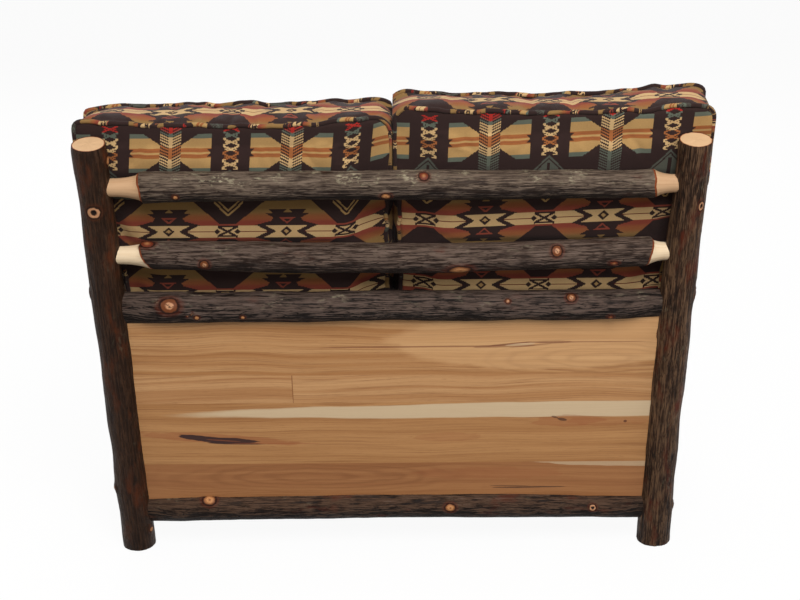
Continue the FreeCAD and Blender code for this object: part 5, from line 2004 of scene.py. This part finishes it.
class Woodwork:
    """The boards, slats, cleats and screws, which keep their solids and get their finishes."""

    LIGHT = srgb(194, 148, 100)
    DARK = srgb(166, 115, 68)
    LINE = srgb(124, 76, 40)
    CREAM = srgb(206, 181, 146)
    POCKET = srgb(44, 14, 7)
    RED = srgb(142, 74, 40)
    MINERAL = srgb(112, 64, 42)

    def __init__(self, up: Vector) -> None:
        """Keeps the back's leaning direction and where its plane meets the floor.

        Args:
            up: The way that the back leans.
        """
        lean = math.atan2(up.y, up.z)
        foot = feet()["foot_back_left"].y
        self.back_turn = (lean, 0.0, 0.0)
        self.back_shift = (0.0, -foot * math.cos(lean), -foot * math.sin(lean))

    def build(self) -> None:
        """Dresses every node that shows its own solid."""
        for node, finish in self.back_boards().items():
            self.dress(node, finish.material(), "hickory_board")
        for node in sorted(frame["nodes"]):
            if node.startswith(("side_board", "front_board")):
                self.dress(node, self.plain_board(node).material(), "hickory_board")
            elif node.startswith(("seat_slat", "seat_cleat")):
                self.dress(node, self.plain_board(node).material(), "slat_wood")
        steel = SteelFinish().material()
        for node in ("slat_screws", "cleat_screws"):
            self.dress(node, steel, "screw_steel")

    def dress(self, node: str, material: Material, slot: str) -> None:
        """Gives a node of the frame a finish.

        Args:
            node: The node.
            material: Its material.
            slot: What that material is called in the record; not used.
        """
        piece = frame["nodes"][node]
        dress_piece(piece, material)
        LOG.info("finish %s on %s", material.name, node)

    def back_boards(self) -> dict[str, BoardFinish]:
        """The five boards of the back panel, each with its own figure and marks.

        Returns:
            A finish for each node.
        """
        butt = Streak(0.2090, 0.430, 0.0022, 0.060, self.LINE, 0.8, 0.0, 0.0)
        mineral = (Streak(-0.31, 0.535, 0.34, 0.075, srgb(214, 168, 118), 0.5, 0.0, 0.12),
                   Streak(-0.04, 0.5225, 0.21, 0.0020, self.MINERAL, 0.62, 0.0, 0.4, 0.002),
                   Streak(-0.215, 0.5225, 0.060, 0.0040, self.MINERAL, 0.42, -0.02, 0.8),
                   Streak(-0.232, 0.5275, 0.045, 0.0022, self.MINERAL, 0.75, -0.12, 0.5),
                   Streak(-0.255, 0.5265, 0.030, 0.0030, self.CREAM, 0.45, -0.08, 0.4),
                   Streak(-0.275, 0.5235, 0.045, 0.0018, self.MINERAL, 0.5, -0.10, 0.6),
                   Streak(-0.312, 0.5315, 0.050, 0.0036, self.MINERAL, 0.5, 0.0, 0.8),
                   Streak(-0.40, 0.5310, 0.115, 0.0018, self.MINERAL, 0.5, 0.0, 0.5, 0.002))
        sapwood = (Streak(-0.50, 0.365, 1.00, 0.0215, self.CREAM, 0.92, -0.0097, 0.04, 0.006),
                   Streak(0.375, 0.294, 0.170, 0.013, self.RED, 0.45, 0.08, 0.4),
                   Streak(0.405, 0.2945, 0.055, 0.0075, self.POCKET, 1.0, 0.13, 0.6),
                   Streak(0.345, 0.2865, 0.060, 0.0085, self.POCKET, 1.0, 0.05, 0.6),
                   Streak(0.335, 0.2800, 0.065, 0.0030, self.POCKET, 1.0, 0.04, 0.3),
                   Streak(0.362, 0.2880, 0.036, 0.0013, self.RED, 0.45, 0.09, 0.9),
                   Streak(0.250, 0.2795, 0.100, 0.0016, self.RED, 0.5, 0.01, 0.4),
                   Streak(-0.36, 0.334, 0.075, 0.015, self.RED, 0.36, 0.0, 0.7),
                   Streak(-0.347, 0.337, 0.011, 0.0040, self.POCKET, 0.75, 0.2, 0.6),
                   Streak(-0.332, 0.343, 0.008, 0.0030, self.POCKET, 0.6, 0.3, 0.6),
                   Streak(-0.479, 0.331, 0.004, 0.0035, self.POCKET, 0.9, 0.0, 0.3),
                   Streak(-0.45, 0.330, 0.10, 0.012, self.RED, 0.26, 0.0, 0.7),
                   Streak(-0.11, 0.293, 0.07, 0.013, self.RED, 0.22, 0.0, 0.7))
        low = (Streak(-0.49, 0.2215, 0.22, 0.0105, self.CREAM, 0.55, 0.03, 0.3),
               Streak(-0.277, 0.156, 0.090, 0.0022, self.POCKET, 0.75, 0.0, 0.4, 0.002),
               Streak(-0.245, 0.160, 0.050, 0.0016, self.POCKET, 0.6, 0.02, 0.5),
               Streak(-0.20, 0.195, 0.17, 0.016, self.RED, 0.22, 0.0, 0.7))
        boards = (
            ("back_board_1", 1.3, self.LIGHT, self.DARK, (-0.42, 0.490, 0.20, 0.040), mineral),
            ("back_board_2_left", 4.1, srgb(197, 150, 102), srgb(164, 113, 68), None, (butt,)),
            ("back_board_2_right", 7.7, srgb(200, 154, 106), srgb(172, 122, 76), None, ()),
            ("back_board_3", 9.2, srgb(182, 133, 84), srgb(160, 110, 64), None, sapwood),
            ("back_board_4", 12.6, srgb(164, 112, 68), srgb(146, 94, 54), (0.17, 0.190, 0.26, 0.040), low))
        panel = (self.LINE, self.back_turn, self.back_shift)
        return {node: BoardFinish(f"{node}_wood", light, dark, *panel, seed, figure, streaks)
                for node, seed, light, dark, figure, streaks in boards}

    def plain_board(self, node: str) -> BoardFinish:
        """The finish of a board, slat or cleat by the way that it runs.

        Args:
            node: The node.

        Returns:
            The finish.
        """
        low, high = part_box(node)
        size = high - low
        middle = (low + high) / 2
        quarter = math.pi / 2
        draw = sum(ord(letter) for letter in node)
        seed = 20.0 + 1.7 * (draw % 23)
        tone = (draw % 5 - 2) * 5
        light, dark = srgb(190 + tone, 144 + tone, 98 + tone), srgb(166 + tone, 116 + tone, 74 + tone)
        if size.x > size.y:
            turn = (0.0, 0.0, 0.0)
            figure = (middle.x * 0.5 + 0.1, middle.z, 0.30, 0.05)
        elif size.z < size.x:
            turn = (quarter, 0.0, quarter)
            figure = None
        else:
            turn = (0.0, 0.0, -quarter)
            figure = (middle.y, middle.z, 0.22, 0.06)
        return BoardFinish(f"{node}_wood", light, dark, self.LINE, turn, (0.0, 0.0, 0.0), seed, figure)


@dataclass
class Studio:
    """The camera at the photograph's viewpoint, soft lights, and a white floor."""

    camera_place: Triple = (-0.012, 3.168, 1.681)
    camera_pitch: float = 69.4  # degrees up from straight down
    camera_roll: float = -0.44
    lens: float = 68.76
    floor_size: float = 40.0
    world_level: float = 0.30
    backdrop_level: float = 0.97  # as bright as the floor looks beside it
    floor_drop: float = 0.0004  # the floor lies this far under the feet
    floor_glow: float = 0.94  # share of the floor's look that is its own white
    white: Colour = srgb(255, 255, 255)
    floor_seen: Colour = srgb(238, 237, 235)
    floor_lit: Colour = srgb(128, 127, 125)  # what it throws back at the object

    def build(self) -> None:
        """Sets up the view, the lights, the floor and the world."""
        bpy.context.scene.view_settings.view_transform = "Standard"
        self.add_camera()
        self.add_light("key", (-0.5, 3.1, 3.5), (0.0, 0.1, 0.45), 2.0, 185.0)
        self.add_light("left_fill", (3.4, 1.6, 1.9), (0.0, 0.0, 0.5), 1.6, 16.0)
        self.add_light("right_fill", (-3.4, 1.8, 1.9), (0.0, 0.0, 0.5), 1.6, 26.0)
        self.add_light("front_fill", (0.4, -3.6, 2.6), (0.0, 0.0, 0.45), 2.4, 85.0)
        self.add_floor()
        self.add_world()

    def add_camera(self) -> None:
        """Places the camera."""
        data = bpy.data.cameras.new("camera")
        data.lens = self.lens
        camera = bpy.data.objects.new("camera", data)
        bpy.context.scene.collection.objects.link(camera)
        turn = (Matrix.Rotation(math.pi, 4, "Z") @ Matrix.Rotation(math.radians(self.camera_pitch), 4, "X")
                @ Matrix.Rotation(math.radians(self.camera_roll), 4, "Z"))
        camera.matrix_world = Matrix.Translation(self.camera_place) @ turn
        bpy.context.scene.camera = camera

    def add_light(self, name: str, place: Triple, target: Triple, size: float, power: float) -> None:
        """A square soft light aimed at a point.

        Args:
            name: Its name.
            place: Where it hangs.
            target: The point.
            size: Its width.
            power: Its power in watts.
        """
        data = bpy.data.lights.new(name, "AREA")
        data.size = size
        data.energy = power
        light = bpy.data.objects.new(name, data)
        bpy.context.scene.collection.objects.link(light)
        light.location = place
        light.rotation_euler = (Vector(target) - Vector(place)).to_track_quat("-Z", "Y").to_euler()

    def seen_directly(self, graph: Graph) -> Shade:
        """1 for rays that see the backdrop itself, straight on, in a gloss or through glass.

        Args:
            graph: The graph to add the nodes to.

        Returns:
            The mask.
        """
        path = graph.node("ShaderNodeLightPath")
        straight, glossy, through = (Shade(graph, path.outputs[f"Is {kind} Ray"])
                                     for kind in ("Camera", "Glossy", "Transmission"))
        return straight | glossy | through

    def add_floor(self) -> None:
        """A wide white floor that glows to the camera but keeps the object's shadow."""
        deselect_all()
        bpy.ops.mesh.primitive_plane_add(size=self.floor_size, location=(0, 0, -self.floor_drop))
        floor = bpy.context.object
        floor.name = "floor"
        graph = Surface("floor_white")
        seen = self.seen_directly(graph)
        graph.dress(Base_Color=graph.blend(seen, self.floor_lit, self.floor_seen), Roughness=0.9)
        glow = graph.node("ShaderNodeEmission", None, {"Color": self.white, "Strength": 1.0})
        mixed = graph.node("ShaderNodeMixShader", None, {0: seen * self.floor_glow})
        graph.tree.links.new(graph.shader.outputs[0], mixed.inputs[1])
        graph.tree.links.new(glow.outputs[0], mixed.inputs[2])
        graph.tree.links.new(mixed.outputs[0], graph.tree.nodes["Material Output"].inputs["Surface"])
        floor.data.materials.append(graph.material)

    def add_world(self) -> None:
        """White behind the object and a plain soft light all round."""
        world = bpy.data.worlds.new("studio")
        world.use_nodes = True
        bpy.context.scene.world = world
        graph = Graph(world.node_tree)
        level = self.seen_directly(graph) * (self.backdrop_level - self.world_level) + self.world_level
        back = graph.tree.nodes["Background"]
        back.inputs["Color"].default_value = self.white
        graph.feed(back.inputs["Strength"], level)


def bark_finishes() -> dict[str, Material]:
    """The barks of the logs, by a word in the log's name.

    Returns:
        A material for each word, and one called rail for the rest.
    """
    furrow = srgb(16, 8, 5)
    smooth = BarkFinish("smooth_bark", furrow, srgb(38, 22, 12), srgb(70, 47, 32), 0.9, 0.1, 0.2, 0.45,
                        inner_bark=srgb(80, 40, 20))
    ridged = BarkFinish("ridged_bark", furrow, srgb(46, 30, 20), srgb(102, 76, 55), 0.8, 0.2, 0.4, 0.7)
    # The last number of grey, middle, brown and rail sets their painted light and shade: paler tops, darker
    # undersides.
    grey = BarkFinish("grey_bark", furrow, srgb(42, 31, 25), srgb(102, 87, 74), 0.25, 1.0, 0.2, 0.75, 0.6)
    middle = BarkFinish("pale_tenon_bark", furrow, srgb(38, 26, 20), srgb(94, 78, 68), 0.4, 0.3, 0.25, 0.85,
                        0.5, bare_wood=srgb(220, 198, 166), bare_streak=srgb(202, 170, 132))
    brown = BarkFinish("brown_bark", furrow, srgb(21, 12, 8), srgb(77, 57, 44), 0.6, 0.2, 0.25, 0.95, 0.7)
    rail = BarkFinish("rail_bark", furrow, srgb(17, 11, 8), srgb(83, 68, 60), 0.35, 0.45, 0.3, 1.15, 0.7)
    return {"post_left": smooth.material(), "post_right": ridged.material(), "rail_top": grey.material(),
            "rail_middle": middle.material(), "rail_bottom": brown.material(), "rail": rail.material()}


def main() -> None:
    """Builds the looks in order."""
    logging.basicConfig(level=logging.INFO, format="%(message)s")
    lift = next(joint for joint in frame["joints"] if joint["name"] == "back_cushion_left_lift")
    up = Vector(lift["axis"]).normalized()
    Studio().build()
    Woodwork(up).build()
    LogFrame(up, bark_finishes()).build()
    CushionSet(up, ClothFinish().material()).build()


if __name__ == "__main__":
    main()
